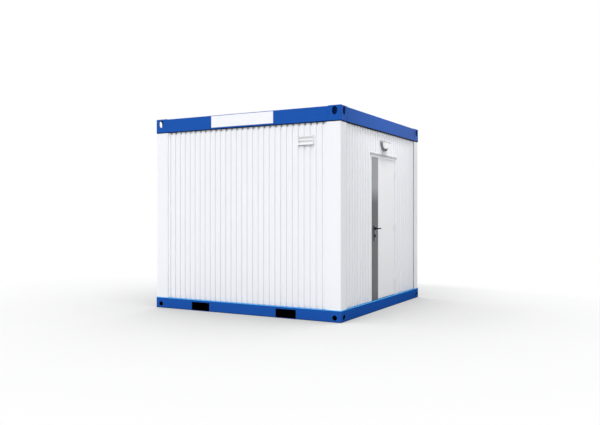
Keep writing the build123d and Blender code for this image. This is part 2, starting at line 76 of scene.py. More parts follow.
def colour(label, about, value):
    return FloatVectorProperty(name=label, description=about, default=[v / 255 for v in value],
                               size=3, min=0, max=1, subtype="COLOR_GAMMA")


class CabinRibSizes(bpy.types.PropertyGroup):
    """Sizes of the ribbed wall sheets"""
    pitch: length("Pitch", "Distance between two grooves", 0.088)
    mouth: length("Mouth", "Width of a groove at the face of the wall", 0.038)
    floor: length("Floor", "Width of a groove at its bottom", 0.022)
    depth: length("Depth", "Depth of a groove", 0.011)
    bend: length("Bend", "Radius of the bends in the sheet", 0.0035)
    land: length("Land", "Least flat stretch between a groove and the end of a wall", 0.012)


class CabinTrimSizes(bpy.types.PropertyGroup):
    """Sizes of fasteners, welds and trim"""
    screw: length("Screw head", "Radius of a screw head", 0.0048)
    rivet: length("Rivet head", "Radius of a rivet head", 0.0042)
    weld: length("Weld", "Radius of a weld bead", 0.0022)
    strip: length("Joint strip", "Width of a strip over a joint of the lining", 0.04)
    strip_pitch: length("Strip pitch", "Distance between two joint strips", 0.9)
    skirting: length("Skirting", "Height of the skirting", 0.06)
    seal: length("Seal", "Thickness of the rubber seal of the door", 0.0045)
    wire_pitch: length("Wire pitch", "Distance between two wires of the insect mesh", 0.004)


class CabinFinishes(bpy.types.PropertyGroup):
    """Colours of the finishes, as they look on screen"""
    frame_blue: colour("Frame blue", "Enamel of the base and roof frames", (31, 86, 173))
    # Painted highlight on the rounded upper edges of the base rails and corners.
    edge_highlight_blue: colour("Edge blue", "Enamel on the rounded upper edges of the base", (92, 186, 246))
    # Painted shade on the flanks of the grooves in the front and back walls.
    groove_white: colour("Groove white", "Coating on the flanks of the grooves", (225, 226, 230))
    wall_white: colour("Wall white", "Coating of the ribbed sheets and the posts", (245, 246, 250))
    vent_white: colour("Vent white", "Enamel of the vent", (240, 241, 243))
    lining_white: colour("Lining white", "Lining of the room", (240, 240, 237))
    door_white: colour("Door white", "Enamel of the door and its frame", (244, 244, 246))
    steel: colour("Steel", "Brushed steel of the lock plate", (152, 154, 157))
    hardware: colour("Hardware", "Handle plates and screws", (116, 118, 120))
    lever_black: colour("Lever black", "Levers and dark fittings", (13, 13, 14))
    # Dark seals under the roof rails and under the vent's lip; their darkness also stands in for the shade
    # there.
    rubber: colour("Rubber", "Seals under the roof rails", (27, 28, 30))
    filler_grey: colour("Filler grey", "Foam at the tops of the grooves", (228, 229, 231))
    # Grey seals beside the end posts; their darkness also stands in for the shade at the steps beside the
    # posts.
    post_grey: colour("Post seal", "Seal beside the posts", (112, 114, 117))
    seal_grey: colour("Seal grey", "Seal of the door", (205, 206, 207))
    lamp_grey: colour("Lamp grey", "Housing of the lamp", (124, 127, 131))
    hood_grey: colour("Hood grey", "Hood of the lamp", (196, 198, 201))
    sensor_grey: colour("Sensor grey", "Block below the lamp", (92, 94, 97))
    lamp_opal: colour("Lamp opal", "Bowl of the lamp", (254, 254, 253))
    drip_grey: colour("Drip cap", "Folded sheet over the door", (172, 174, 178))
    sign_white: colour("Plate white", "Bare plate on the roof rail", (247, 248, 252))
    floor_grey: colour("Floor grey", "Vinyl of the floor", (150, 153, 156))
    zinc: colour("Zinc", "Galvanised roof and underside", (176, 180, 184))
    # Painted shade: black inside the forklift tubes and the lashing holes.
    pocket_black: colour("Pocket black", "Inside of the forklift tubes", (6, 6, 7))


class CabinStage(bpy.types.PropertyGroup):
    """Camera, lamps and floor"""
    lens: FloatProperty(name="Lens", description="Focal length on a sensor of 36 mm", default=40.13,
                        unit="CAMERA")
    place: FloatVectorProperty(name="Camera place", description="Where the camera stands",
                               default=(5.063, -9.09, 1.389), subtype="TRANSLATION", unit="LENGTH")
    turn: FloatProperty(name="Camera turn", description="Turn of the camera to the right of the front",
                        default=math.radians(28.66), subtype="ANGLE")
    ambient: FloatProperty(name="Ambient", description="Strength of the light from all round",
                           default=0.44, min=0)
    key: FloatProperty(name="Key", description="Strength of the lamp at the front", default=1.30, min=0)
    overhead: FloatProperty(name="Overhead", description="Strength of the lamp above", default=0.95, min=0)
    wash: FloatProperty(name="Wash", description="Power of the lamp beside the door", default=9.6, min=0,
                        unit="POWER")
    floor_tone: FloatProperty(name="Floor tone", description="Share of light that the floor returns",
                              default=0.92, min=0, max=1, subtype="FACTOR")


SETTINGS = {
    "cabin_ribs": CabinRibSizes,
    "cabin_trim": CabinTrimSizes,
    "cabin_finishes": CabinFinishes,
    "cabin_stage": CabinStage,
}


# Frames of the sides.

def side_matrix(side):
    """Takes a point from a side's own frame to the frame of the solids."""
    index = SIDES.index(side)
    distance = HALF_LENGTH if index % 2 else HALF_DEPTH
    return Matrix.Rotation(index * QUARTER, 4, "Z") @ Matrix.Translation((0, -distance, 0))


def side_box(node, side):
    """Lowest and highest corner of a solid in a side's own frame."""
    low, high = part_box(node)
    back = side_matrix(side).inverted()
    corners = [back @ Vector((x, y, z))
               for x in (low.x, high.x) for y in (low.y, high.y) for z in (low.z, high.z)]
    return Vector(map(min, *corners)), Vector(map(max, *corners))


# Trees of nodes.

class Pen:
    """Places nodes in a tree and joins them."""

    def __init__(self, tree):
        self.tree = tree

    def node(self, kind, links=None, **settings):
        node = self.tree.nodes.new(kind)
        for key, value in settings.items():
            setattr(node, key, value)
        for key, value in (links or {}).items():
            self.join(value, node.inputs[key])
        return node

    def join(self, value, socket):
        if isinstance(value, bpy.types.NodeSocket):
            self.tree.links.new(value, socket)
        else:
            socket.default_value = value

    def give(self, *values):
        """Joins values to the outputs of the tree, in their order."""
        for value, socket in zip(values, self.node("NodeGroupOutput").inputs):
            self.join(value, socket)
        return self.tree

    # Numbers and vectors.

    def math(self, operation, *values):
        return self.node("ShaderNodeMath", dict(enumerate(values)), operation=operation).outputs[0]

    def plus(self, a, b):
        return self.math("ADD", a, b)

    def minus(self, a, b):
        return self.math("SUBTRACT", a, b)

    def times(self, a, b):
        return self.math("MULTIPLY", a, b)

    def times_plus(self, a, b, c):
        return self.math("MULTIPLY_ADD", a, b, c)

    def vector(self, x, y, z):
        return self.node("ShaderNodeCombineXYZ", {0: x, 1: y, 2: z}).outputs[0]

    def split(self, vector):
        return self.node("ShaderNodeSeparateXYZ", {0: vector}).outputs

    # Shapes.

    def geo(self, kind, links=None, **settings):
        return self.node("GeometryNode" + kind, links, **settings).outputs[0]

    def switch(self, test, no, yes):
        return self.geo("Switch", {"Switch": test, "False": no, "True": yes}, input_type="FLOAT")

    def merge(self, *shapes):
        node = self.node("GeometryNodeJoinGeometry")
        for shape in shapes:
            self.tree.links.new(shape, node.inputs[0])
        return node.outputs[0]

    def moved(self, shape, place, turn=(0, 0, 0)):
        return self.geo("Transform", {"Geometry": shape, "Translation": place, "Rotation": turn})

    def box(self, x, y, z):
        return self.geo("MeshCube", {"Size": self.vector(x, y, z)})

    def bar(self, corners, radius, run):
        return self.geo("MeshCylinder", {"Vertices": corners, "Radius": radius, "Depth": run})

    def row(self, count, start, step):
        return self.geo("MeshLine", {"Count": count, "Start Location": start, "Offset": step})

    def repeat(self, points, shape, turn=(0, 0, 0)):
        return self.geo("InstanceOnPoints", {"Points": points, "Instance": shape, "Rotation": turn})

    def finish(self, shape, material):
        whole = self.geo("RealizeInstances", {0: shape})
        return self.geo("SetMaterial", {"Geometry": whole, "Material": material})

    # Looks.

    def shade(self, kind, links=None, **settings):
        return self.node("ShaderNode" + kind, links, **settings).outputs

    def at(self):
        """Object coordinates."""
        return self.shade("TexCoord")["Object"]

    def noise(self, at, scale, detail):
        return self.shade("TexNoise", {"Vector": at, "Scale": scale, "Detail": detail})[0]

    def ramp(self, value, low, high, start=0.0, end=1.0, **settings):
        """Start where the value is low, end where it is high."""
        return self.shade("MapRange", {"Value": value, "From Min": low, "From Max": high,
                                       "To Min": start, "To Max": end}, **settings)[0]

    def scaled(self, colour, share):
        return self.shade("VectorMath", {0: colour, "Scale": share}, operation="SCALE")[0]

    def mix(self, mask, under, over):
        """The second colour over the first one, where the mask is one."""
        return self.shade("Mix", {0: mask, 6: under, 7: over}, data_type="RGBA")[2]


def new_tree(name, kind, inputs, outputs):
    """Pen for an empty tree with named sockets, followed by its input sockets."""
    tree = bpy.data.node_groups.new(name, kind)
    for way, sockets in (("INPUT", inputs), ("OUTPUT", outputs)):
        for label, socket in sockets:
            tree.interface.new_socket(label, in_out=way, socket_type="NodeSocket" + socket)
    pen = Pen(tree)
    return (pen, *pen.node("NodeGroupInput").outputs[:len(inputs)])


def shape_tree(name, counts, sizes, materials="Finish", base=False):
    """Pen for a geometry tree, followed by its base shape, counts, sizes and materials."""
    inputs = [("Geometry", "Geometry")] if base else []
    for labels, kind in ((counts, "Int"), (sizes, "Float"), (materials, "Material")):
        inputs += [(label, kind) for label in labels.split(", ") if label]
    return new_tree(name, "GeometryNodeTree", inputs, [("Geometry", "Geometry")])


TREES = {}


def tree_of(maker):
    """Each tree is built once."""
    if maker not in TREES:
        TREES[maker] = maker()
    return TREES[maker]


def placed(name, data):
    """New object in the scene."""
    item = bpy.data.objects.new(name, data)
    bpy.context.scene.collection.objects.link(item)
    return item


def plain_mesh(holder, *tools):
    """Mesh of an object with its modifiers applied; the object and its tools are removed."""
    depsgraph = bpy.context.evaluated_depsgraph_get()
    mesh = bpy.data.meshes.new_from_object(holder.evaluated_get(depsgraph), depsgraph=depsgraph)
    holder.modifiers.clear()
    for item in (holder, *tools):
        bpy.data.objects.remove(item)
    return mesh


def grow(maker, base=None, **values):
    """Runs a tree on a base mesh and gives the finished plain mesh. Finishes are given by name."""
    holder = placed("holder", base or bpy.data.meshes.new("empty"))
    nodes = holder.modifiers.new("nodes", "NODES")
    nodes.node_group = tree_of(maker)
    sockets = {item.name.lower().replace(" ", "_"): item.identifier
               for item in nodes.node_group.interface.items_tree if item.in_out == "INPUT"}
    for key, value in values.items():
        nodes[sockets[key]] = finish_of(value) if isinstance(value, str) else value
    mesh = plain_mesh(holder)
    if not mesh.polygons:
        raise RuntimeError("nothing came out of " + maker.__name__)
    return mesh


def ribbed_wall_tree():
    """Wall with upright grooves in its outer sheet, rounded bends and a flat lining."""
    (pen, grooves, start, end, first, pitch, mouth, floor, depth, bend, crest, inner, foot, head,
     sheet_finish, lining) = shape_tree(
        "Ribbed wall", "Grooves", "Start, End, First groove, Pitch, Mouth, Floor, Depth, Bend, Crest, "
        "Inner face, Foot, Head", "Sheet, Lining")
    # Each groove has four corners, and the middle two lie on its floor.
    corners, middle, bend_steps = 4.0, 1.5, 3
    thickness, lining_reach = 0.05, 0.001
    index = pen.geo("InputIndex")
    last = pen.times_plus(grooves, corners, 1.0)
    step = pen.minus(index, 1.0)
    groove = pen.math("FLOOR", pen.math("DIVIDE", step, corners))
    corner = pen.minus(step, pen.times(groove, corners))
    sunk = pen.math("LESS_THAN", pen.math("ABSOLUTE", pen.minus(corner, middle)), 1.0)
    turn = pen.times_plus(pen.math("GREATER_THAN", corner, middle), 2.0, -1.0)
    width = pen.times_plus(sunk, pen.minus(floor, mouth), mouth)
    x = pen.times_plus(turn, pen.times(width, 0.5), pen.times_plus(groove, pitch, first))
    x = pen.switch(pen.math("LESS_THAN", index, 0.5), x, start)
    x = pen.switch(pen.math("GREATER_THAN", index, pen.minus(last, 0.5)), x, end)
    y = pen.times_plus(sunk, depth, crest)
    plan = pen.row(pen.plus(last, 1.0), (0, 0, 0), (1, 0, 0))
    plan = pen.geo("SetPosition", {"Geometry": plan, "Position": pen.vector(x, y, foot)})
    plan = pen.geo("MeshToCurve", {"Mesh": plan})
    plan = pen.geo("FilletCurve", {"Curve": plan, "Count": bend_steps, "Limit Radius": True,
                                   "Radius": bend}, mode="POLY")
    plan = pen.geo("CurveToMesh", {"Curve": plan})
    sheet = pen.geo("ExtrudeMesh", {"Mesh": plan, "Offset": pen.vector(0, 0, 1),
                                    "Offset Scale": pen.minus(head, foot)}, mode="EDGES")
    slab = pen.node("GeometryNodeExtrudeMesh", {
        "Mesh": sheet, "Offset": pen.vector(0, 1, 0), "Offset Scale": thickness, "Individual": False},
        mode="FACES").outputs
    at = pen.split(pen.geo("InputPosition"))
    slab = pen.geo("SetPosition", {"Geometry": slab["Mesh"], "Selection": slab["Top"],
                                   "Position": pen.vector(at[0], inner, at[2])})
    outside = pen.geo("FlipFaces", {"Mesh": sheet})
    whole = pen.geo("MergeByDistance", {"Geometry": pen.merge(slab, outside), "Distance": MERGE})
    inside = pen.math("GREATER_THAN", at[1], pen.minus(inner, lining_reach))
    return pen.give(pen.geo("SetMaterial", {"Geometry": pen.finish(whole, sheet_finish),
                                            "Selection": inside, "Material": lining}))


def fastener_tree():
    """Head with a washer on each point of the base, facing out of its side."""
    pen, base, corners, radius, height, washer, thick, finish = shape_tree(
        "Fasteners", "Corners", "Head radius, Head height, Washer radius, Washer height", base=True)
    skirt_share, crown_share, washer_corners = 0.6, 0.7, 16
    skirt = pen.times(height, skirt_share)
    parts = ((pen.bar(washer_corners, washer, thick), pen.times(thick, 0.5)),
             (pen.bar(corners, radius, skirt), pen.times_plus(skirt, 0.5, thick)),
             (pen.bar(corners, pen.times(radius, crown_share), height), pen.times_plus(height, 0.5, thick)))
    head = pen.merge(*(pen.moved(part, pen.vector(0, 0, level)) for part, level in parts))
    heads = pen.repeat(pen.geo("MeshToPoints", {"Mesh": base}), head, (QUARTER, 0, 0))
    return pen.give(pen.finish(heads, finish))


def weld_tree():
    """Rippled bead along each chain of edges of the base."""
    pen, base, radius, step, finish = shape_tree("Weld beads", "", "Radius, Step", base=True)
    sides, pace, swell = 6, 1.9, 0.16
    path = pen.geo("MeshToCurve", {"Mesh": base})
    path = pen.geo("ResampleCurve", {"Curve": path, "Length": step}, mode="LENGTH")
    ring = pen.geo("CurvePrimitiveCircle", {"Resolution": sides, "Radius": radius})
    wave = pen.math("SINE", pen.times(pen.geo("InputIndex"), pace))
    bead = pen.geo("CurveToMesh", {"Curve": path, "Profile Curve": ring, "Fill Caps": True,
                                   "Scale": pen.times_plus(wave, swell, 1.0)})
    return pen.give(pen.finish(bead, finish))


def louvre_tree():
    """Slanting slats with a turned-down lip, one above the other."""
    pen, slats, middle, lowest, pitch, place, width, chord, thick, tilt, finish = shape_tree(
        "Louvres", "Slats", "Middle, Lowest, Pitch, Depth place, Width, Chord, Thickness, Tilt")
    points = pen.row(slats, pen.vector(middle, place, lowest), pen.vector(0, 0, pitch))
    lip = pen.moved(pen.box(width, thick, pen.times(thick, 2.0)),
                    pen.vector(0, pen.times(chord, -0.5), pen.times(thick, -0.5)))
    slat = pen.merge(pen.box(width, chord, thick), lip)
    return pen.give(pen.finish(pen.repeat(points, slat, pen.vector(tilt, 0, 0)), finish))


def wire_tree():
    """Woven insect mesh: upright and level wires."""
    pen, upright, level, middle, height, place, width, rise, pitch, radius, finish = shape_tree(
        "Insect mesh", "Upright, Level", "Middle, Height, Depth place, Width, Rise, Pitch, Wire radius")
    sides = 5
    left, below = (pen.times(pen.times(pen.minus(count, 1.0), pitch), -0.5) for count in (upright, level))
    across = pen.row(upright, pen.vector(pen.plus(middle, left), place, height), pen.vector(pitch, 0, 0))
    upward = pen.row(level, pen.vector(middle, place, pen.plus(height, below)), pen.vector(0, 0, pitch))
    wires = pen.merge(pen.repeat(across, pen.bar(sides, radius, rise)),
                      pen.repeat(upward, pen.bar(sides, radius, width), (0, QUARTER, 0)))
    return pen.give(pen.finish(wires, finish))


def seam_tree():
    """Roof sheet with standing seams that carry a rolled bead."""
    pen, base, seams, first, pitch, level, run, height, width, bead, finish = shape_tree(
        "Standing seams", "Seams", "First, Pitch, Level, Run, Height, Width, Bead", base=True)
    foot_share, foot_height, bead_sides = 4.0, 0.002, 12
    points = pen.row(seams, pen.vector(first, 0, level), pen.vector(pitch, 0, 0))
    tall = pen.minus(height, bead)
    web = pen.moved(pen.box(width, run, tall), pen.vector(0, 0, pen.times(tall, 0.5)))
    foot = pen.moved(pen.box(pen.times(width, foot_share), run, foot_height), (0, 0, foot_height / 2))
    roll = pen.moved(pen.bar(bead_sides, bead, run), pen.vector(0, 0, tall), (QUARTER, 0, 0))
    rows = pen.repeat(points, pen.merge(web, foot, roll))
    return pen.give(pen.finish(pen.merge(base, rows), finish))


def strip_tree():
    """Row of stepped upright strips."""
    pen, strips, first, pitch, width, thick, foot, head, face, finish = shape_tree(
        "Joint strips", "Strips", "First, Pitch, Width, Thickness, Foot, Head, Face")
    base_share, cap_share = 0.6, 0.55
    rise = pen.minus(head, foot)
    points = pen.row(strips, pen.vector(first, face, pen.times_plus(rise, 0.5, foot)),
                     pen.vector(pitch, 0, 0))
    layers = (pen.moved(pen.box(wide, deep, rise), pen.vector(0, pen.times(deep, 0.5), 0))
              for wide, deep in ((width, pen.times(thick, base_share)), (pen.times(width, cap_share), thick)))
    return pen.give(pen.finish(pen.repeat(points, pen.merge(*layers)), finish))


# Finishes.

# What every shader group gives.
LOOK = [("Colour", "Color"), ("Roughness", "Float"), ("Height", "Float")]
DUST = (0.36, 0.33, 0.29, 1)

# Roughness, specular level, spread of the tone, streaks, dust, grain and relief of each paint.
ROOF_PAINT = (0.30, 0.035, 0.05, 0.05, 0.0, 420, 0.08)
BASE_PAINT = (0.34, 0.0, 0.05, 0.05, 0.01, 420, 0.08)
POCKET_PAINT = (0.9, 0.0, 0.2, 0.02, 0.0, 420, 0.08)
PAINTS = {
    "wall_white": (0.42, 0.08, 0.012, 0.012, 0.03, 420, 0.08),
    "vent_white": (0.45, 0.05, 0.012, 0.012, 0.0, 420, 0.08),
    "lining_white": (0.5, 0.3, 0.015, 0.0, 0.0, 160, 0.08),
    "door_white": (0.36, 0.12, 0.012, 0.008, 0.03, 420, 0.08),
    "drip_grey": (0.4, 0.4, 0.04, 0.0, 0.0, 420, 0.08),
    "lever_black": (0.45, 0.05, 0.1, 0.0, 0.0, 900, 0.2),
    "rubber": (0.75, 0.1, 0.1, 0.0, 0.0, 700, 0.25),
    "filler_grey": (0.9, 0.05, 0.1, 0.0, 0.0, 500, 0.3),
    "post_grey": (0.75, 0.1, 0.1, 0.0, 0.0, 700, 0.25),
    "seal_grey": (0.7, 0.2, 0.05, 0.0, 0.0, 700, 0.25),
    "lamp_grey": (0.48, 0.35, 0.05, 0.0, 0.0, 800, 0.2),
    "hood_grey": (0.45, 0.3, 0.04, 0.0, 0.0, 800, 0.1),
    "sensor_grey": (0.45, 0.3, 0.06, 0.0, 0.0, 800, 0.2),
    "lamp_opal": (0.25, 0.5, 0.01, 0.0, 0.0, 420, 0.02),
    "sign_white": (0.3, 0.3, 0.01, 0.0, 0.0, 420, 0.03),
}


def linear(tone):
    """Linear light of a colour given as it looks on screen."""
    return tuple(c / 12.92 if c <= 0.04045 else ((c + 0.055) / 1.055) ** 2.4 for c in tone) + (1.0,)


def look_tree(name, sizes, *others):
    """Pen for a shader group that gives a colour, a roughness and a height, followed by its inputs."""
    inputs = [*LOOK[:2], *((label, "Float") for label in sizes.split(", ")), *others]
    return new_tree(name, "ShaderNodeTree", inputs, LOOK)


def paint_group():
    """Painted or coated sheet: broad tone, faint streaks, fine grain, dust near the ground, painted shade on
    faces that look down and a painted highlight on rounded upper edges.
    """
    pen, colour, rough, tone, streaks, dust, grain, below, edge, highlight_colour = look_tree(
        "Painted sheet", "Tone, Streaks, Dust, Grain, Under, Edge", ("Edge colour", "Color"))
    broad_scale, streak_scale, dust_height = 1.1, (9.0, 9.0, 0.4), 0.7
    under_shade_start, under_shade_full, darkest_under_shade = -0.1, -0.55, 0.12
    highlight_start, highlight_full, flat_start, flat = 0.02, 0.3, 0.985, 0.999
    rough_spread, dust_rough = 0.12, 0.4
    at = pen.at()
    broad = pen.minus(pen.noise(at, broad_scale, 3.0), 0.5)
    long_way = pen.shade("Mapping", {"Vector": at, "Scale": streak_scale})[0]
    streak = pen.noise(long_way, 1.0, 4.0)
    shade = pen.times_plus(broad, tone, 1.0)
    shade = pen.times_plus(pen.minus(streak, 0.5), streaks, shade)
    low = pen.ramp(pen.split(at)[2], 0.0, dust_height, 1.0, 0.0)
    settled = pen.times(pen.times(low, low), pen.times(streak, dust))
    # Painted shade: where Under is one, faces that look down are darkened.
    upward = pen.split(pen.shade("NewGeometry")["Normal"])[2]
    under = pen.ramp(upward, under_shade_start, under_shade_full, 1.0, darkest_under_shade)
    under = pen.times_plus(pen.minus(under, 1.0), below, 1.0)
    toned = pen.scaled(pen.scaled(colour, shade), under)
    # Painted highlight: where Edge is one, rounded upper edges take the edge colour.
    rim = pen.times(pen.ramp(upward, highlight_start, highlight_full), pen.ramp(upward, flat_start, flat, 1.0, 0.0))
    toned = pen.mix(pen.times(rim, edge), toned, highlight_colour)
    rough = pen.plus(pen.times_plus(broad, rough_spread, rough), pen.times(settled, dust_rough))
    return pen.give(pen.mix(settled, toned, DUST), rough, pen.noise(at, grain, 2.0))


def brushed_group():
    """Brushed metal: fine lines along one way, with cloudy tone."""
    pen, colour, rough, tone, lines = look_tree("Brushed metal", "Tone", ("Lines", "Vector"))
    at, cloud_scale, rough_spread = pen.at(), 2.2, 0.16
    along = pen.shade("VectorMath", {0: at, 1: lines}, operation="MULTIPLY")[0]
    line = pen.noise(along, 1.0, 3.0)
    shade = pen.times_plus(pen.minus(line, 0.5), tone, 1.0)
    shade = pen.times_plus(pen.minus(pen.noise(at, cloud_scale, 3.0), 0.5), tone, shade)
    return pen.give(pen.scaled(colour, shade), pen.times_plus(line, rough_spread, rough), line)


def fleck_group():
    """Cells of uneven brightness: zinc spangle, or chips in vinyl."""
    pen, colour, rough, cells, contrast = look_tree("Flecks", "Cells, Contrast")
    at, warp_scale, warp, rough_spread = pen.at(), 14.0, (0.03, 0.03, 0.03), 0.14
    bent = pen.shade("TexNoise", {"Vector": at, "Scale": warp_scale, "Detail": 2.0})["Color"]
    warped = pen.shade("VectorMath", {0: bent, 1: warp, 2: at}, operation="MULTIPLY_ADD")[0]
    cell = pen.shade("TexVoronoi", {"Vector": warped, "Scale": cells})
    grey = pen.shade("SeparateColor", {0: cell["Color"]})[0]
    shade = pen.times_plus(pen.minus(grey, 0.5), contrast, 1.0)
    return pen.give(pen.scaled(colour, shade), pen.times_plus(grey, rough_spread, rough), cell["Distance"])


def finish_of(name):
    return bpy.data.materials[FINISH_PREFIX + name]


def new_finish(name, group, values, relief, constants):
    """Material whose look comes from a shared group; gives its pen, shader inputs and colour."""
    material = bpy.data.materials.new(FINISH_PREFIX + name)
    material.use_nodes = True
    pen = Pen(material.node_tree)
    shader = material.node_tree.nodes["Principled BSDF"].inputs
    look = pen.shade("Group", values, node_tree=tree_of(group))
    bump = pen.shade("Bump", {"Height": look["Height"], "Strength": relief[0], "Distance": relief[1]})[0]
    links = {"Base Color": look["Colour"], "Roughness": look["Roughness"], "Normal": bump, **constants}
    for key, value in links.items():
        pen.join(value, shader[key])
    return pen, shader, look["Colour"]


# Paint by a recipe. Under paints shade on faces that look down; edge gives the colour of a painted highlight
# on rounded upper edges.
def painted(name, tone, paint, under=0.0, edge=None):
    rough, specular, spread, streaks, dust, grain, relief = paint
    values = {"Colour": linear(tone), "Roughness": rough, "Tone": spread, "Streaks": streaks, "Dust": dust,
              "Grain": grain, "Under": under, "Edge": 1.0 if edge else 0.0,
              "Edge colour": linear(edge or tone)}
    return new_finish(name, paint_group, values, (relief, 0.0006), {"Specular IOR Level": specular})


def brushed(name, tone, rough, lines):
    values = {"Colour": linear(tone), "Roughness": rough, "Lines": lines, "Tone": 0.12}
    return new_finish(name, brushed_group, values, (0.12, 0.0003), {"Metallic": 1.0})


def flecked(name, tone, rough, cells, contrast, relief, constants):
    values = {"Colour": linear(tone), "Roughness": rough, "Cells": cells, "Contrast": contrast}
    new_finish(name, fleck_group, values, (relief, 0.0004), constants)


def overlay(made, mask, tone):
    """Lays a second colour over a finish where a mask is one."""
    pen, shader, colour = made
    pen.join(pen.mix(mask, colour, linear(tone)), shader["Base Color"])


def below_faces(pen):
    """Depth behind the outer faces at the ends and at the front or back, and height above the ground."""
    at = pen.split(pen.at())
    return (pen.minus(HALF_LENGTH, pen.math("ABSOLUTE", at[0])),
            pen.minus(HALF_DEPTH, pen.math("ABSOLUTE", at[1])), at[2])


def pocket_finish(tones):
    """Painted shade: black inside of the forklift tubes, with the frame's enamel at the mouths."""
    made = painted("pocket_black", tones.pocket_black, POCKET_PAINT)
    pen, mouth = made[0], 0.002
    overlay(made, pen.math("LESS_THAN", below_faces(pen)[1], mouth), tones.frame_blue)


def corner_finish(tones):
    """Blue corners with the base's painted shade and highlight, whose lashing holes are painted black inside
    as painted shade.
    """
    made = painted("corner_blue", tones.frame_blue, BASE_PAINT, 1.0, tones.edge_highlight_blue)
    pen, rim, hole_height, hole_reach = made[0], 0.0035, 0.059, 0.04
    lengthwise, depthwise, height = below_faces(pen)
    deep = pen.math("GREATER_THAN", pen.math("MINIMUM", lengthwise, depthwise), rim)
    level = pen.math("LESS_THAN", pen.math("ABSOLUTE", pen.minus(height, hole_height)), hole_reach)
    overlay(made, pen.times(deep, level), tones.pocket_black)


def rib_finish(tones, crest, depth):
    """White coating with painted shade on the flanks of the grooves in the front and the back."""
    made = painted("rib_white", tones.wall_white, PAINTS["wall_white"])
    pen = made[0]
    sunk = pen.ramp(below_faces(pen)[1], crest, crest + depth)
    # Painted shade on the flanks of the grooves.
    overlay(made, pen.times(pen.times(sunk, pen.minus(1.0, sunk)), 4.0), tones.groove_white)


def lock_steel_finish(tone):
    """Brushed steel of the lock plate with a painted reflection: darker from the middle down, lighter above.
    """
    pen, shader, colour = brushed("steel", tone, 0.30, (900.0, 900.0, 4.0))
    darker_below, lighter_above, darkest_share = 1.48, 1.78, 0.33
    painted_reflection = pen.ramp(pen.split(pen.at())[2], darker_below, lighter_above, darkest_share,
                     interpolation_type="SMOOTHSTEP")
    pen.join(pen.scaled(colour, painted_reflection), shader["Base Color"])


def make_finishes(scene):
    """Every finish of the cabin, from the colours in the settings."""
    tones = scene.cabin_finishes
    made = {name: painted(name, getattr(tones, name), paint) for name, paint in PAINTS.items()}
    opal = {"Subsurface Weight": 0.15, "Subsurface Radius": (0.01, 0.01, 0.01),
            "Emission Color": linear(tones.lamp_opal), "Emission Strength": 0.1}
    for key, value in opal.items():
        made["lamp_opal"][1][key].default_value = value
    # The roof and base blues carry painted shade on faces that look down; the base and corner blues also
    # carry a painted highlight on their rounded upper edges.
    painted("frame_blue", tones.frame_blue, ROOF_PAINT, 1.0)
    painted("base_blue", tones.frame_blue, BASE_PAINT, 1.0, tones.edge_highlight_blue)
    pocket_finish(tones)
    corner_finish(tones)
    rib_finish(tones, side_box("front_wall", "front")[0].y, scene.cabin_ribs.depth)
    lock_steel_finish(tones.steel)
    brushed("hardware", tones.hardware, 0.34, (700.0, 700.0, 6.0))
    brushed("sill_metal", tones.hardware, 0.36, (700.0, 6.0, 700.0))
    flecked("galvanised", tones.zinc, 0.38, 46.0, 0.22, 0.05, {"Metallic": 0.85})
    flecked("floor_grey", tones.floor_grey, 0.5, 260.0, 0.35, 0.1, {"Specular IOR Level": 0.35})


# Meshes.

def to_mesh(shape):
    bmesh.ops.remove_doubles(shape, verts=shape.verts, dist=MERGE)
    bmesh.ops.recalc_face_normals(shape, faces=shape.faces)
    mesh = bpy.data.meshes.new("piece")
    shape.to_mesh(mesh)
    shape.free()
    return mesh


def keep(name, mesh, finish, side=None, nodes=(), body="cabin", angle=32.0):
    """Makes a finished mesh a piece of the cabin that rides on a body."""
    if side:
        mesh.transform(side_matrix(side))
    if finish:
        mesh.materials.clear()
        mesh.materials.append(finish_of(finish))
    mesh.name = name
    mesh.polygons.foreach_set("use_smooth", [True] * len(mesh.polygons))
    mesh.set_sharp_from_angle(angle=math.radians(angle))
    piece = placed(name, mesh)
    piece.modifiers.new("even shading", "WEIGHTED_NORMAL").keep_sharp = True
    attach(piece, body)
    if nodes:
        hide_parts(*nodes)


def soften(shape, edges, offset, segments=2):
    bmesh.ops.bevel(shape, geom=list(edges), offset=offset, segments=segments, profile=0.5,
                    affect="EDGES", clamp_overlap=True)


def joined(*meshes):
    """Several meshes as one."""
    shape = bmesh.new()
    for mesh in meshes:
        shape.from_mesh(mesh)
        bpy.data.meshes.remove(mesh)
    whole = bpy.data.meshes.new("joined")
    shape.to_mesh(whole)
    shape.free()
    return whole


def block(low, high, edge=0.0, segments=2):
    """Box between two corners, with softened edges where an edge is given."""
    shape = bmesh.new()
    for vert in bmesh.ops.create_cube(shape, size=1.0)["verts"]:
        vert.co = [a + (share + 0.5) * (b - a) for share, a, b in zip(vert.co, Vector(low), Vector(high))]
    if edge:
        soften(shape, shape.edges, edge, segments)
    return to_mesh(shape)


def blocks(spans, edge, segments=2):
    """Softened boxes as one mesh, each given by its low and high corner."""
    return joined(*(block(low, high, edge, segments) for low, high in spans))


def rounded_outline(points, radii, steps=8):
    """Closed outline with an arc at each corner that has a radius."""
    outline = []
    count = len(points)
    for i, radius in enumerate(radii):
        here, before, after = (Vector(points[k % count]) for k in (i, i - 1, i + 1))
        if not radius:
            outline.append(here)
            continue
        back, on = (before - here).normalized(), (after - here).normalized()
        half = back.angle(on) / 2
        reach = radius / math.tan(half)
        centre = here + (back + on).normalized() * (radius / math.sin(half))
        start, end = here + back * reach - centre, here + on * reach - centre
        sweep = start.angle_signed(end)
        for k in range(steps + 1):
            turned = start.copy()
            turned.rotate(Matrix.Rotation(-sweep * k / steps, 2))
            outline.append(centre + turned)
    return outline


def rectangle(x0, x1, z0, z1):
    return [(x0, z0), (x1, z0), (x1, z1), (x0, z1)]


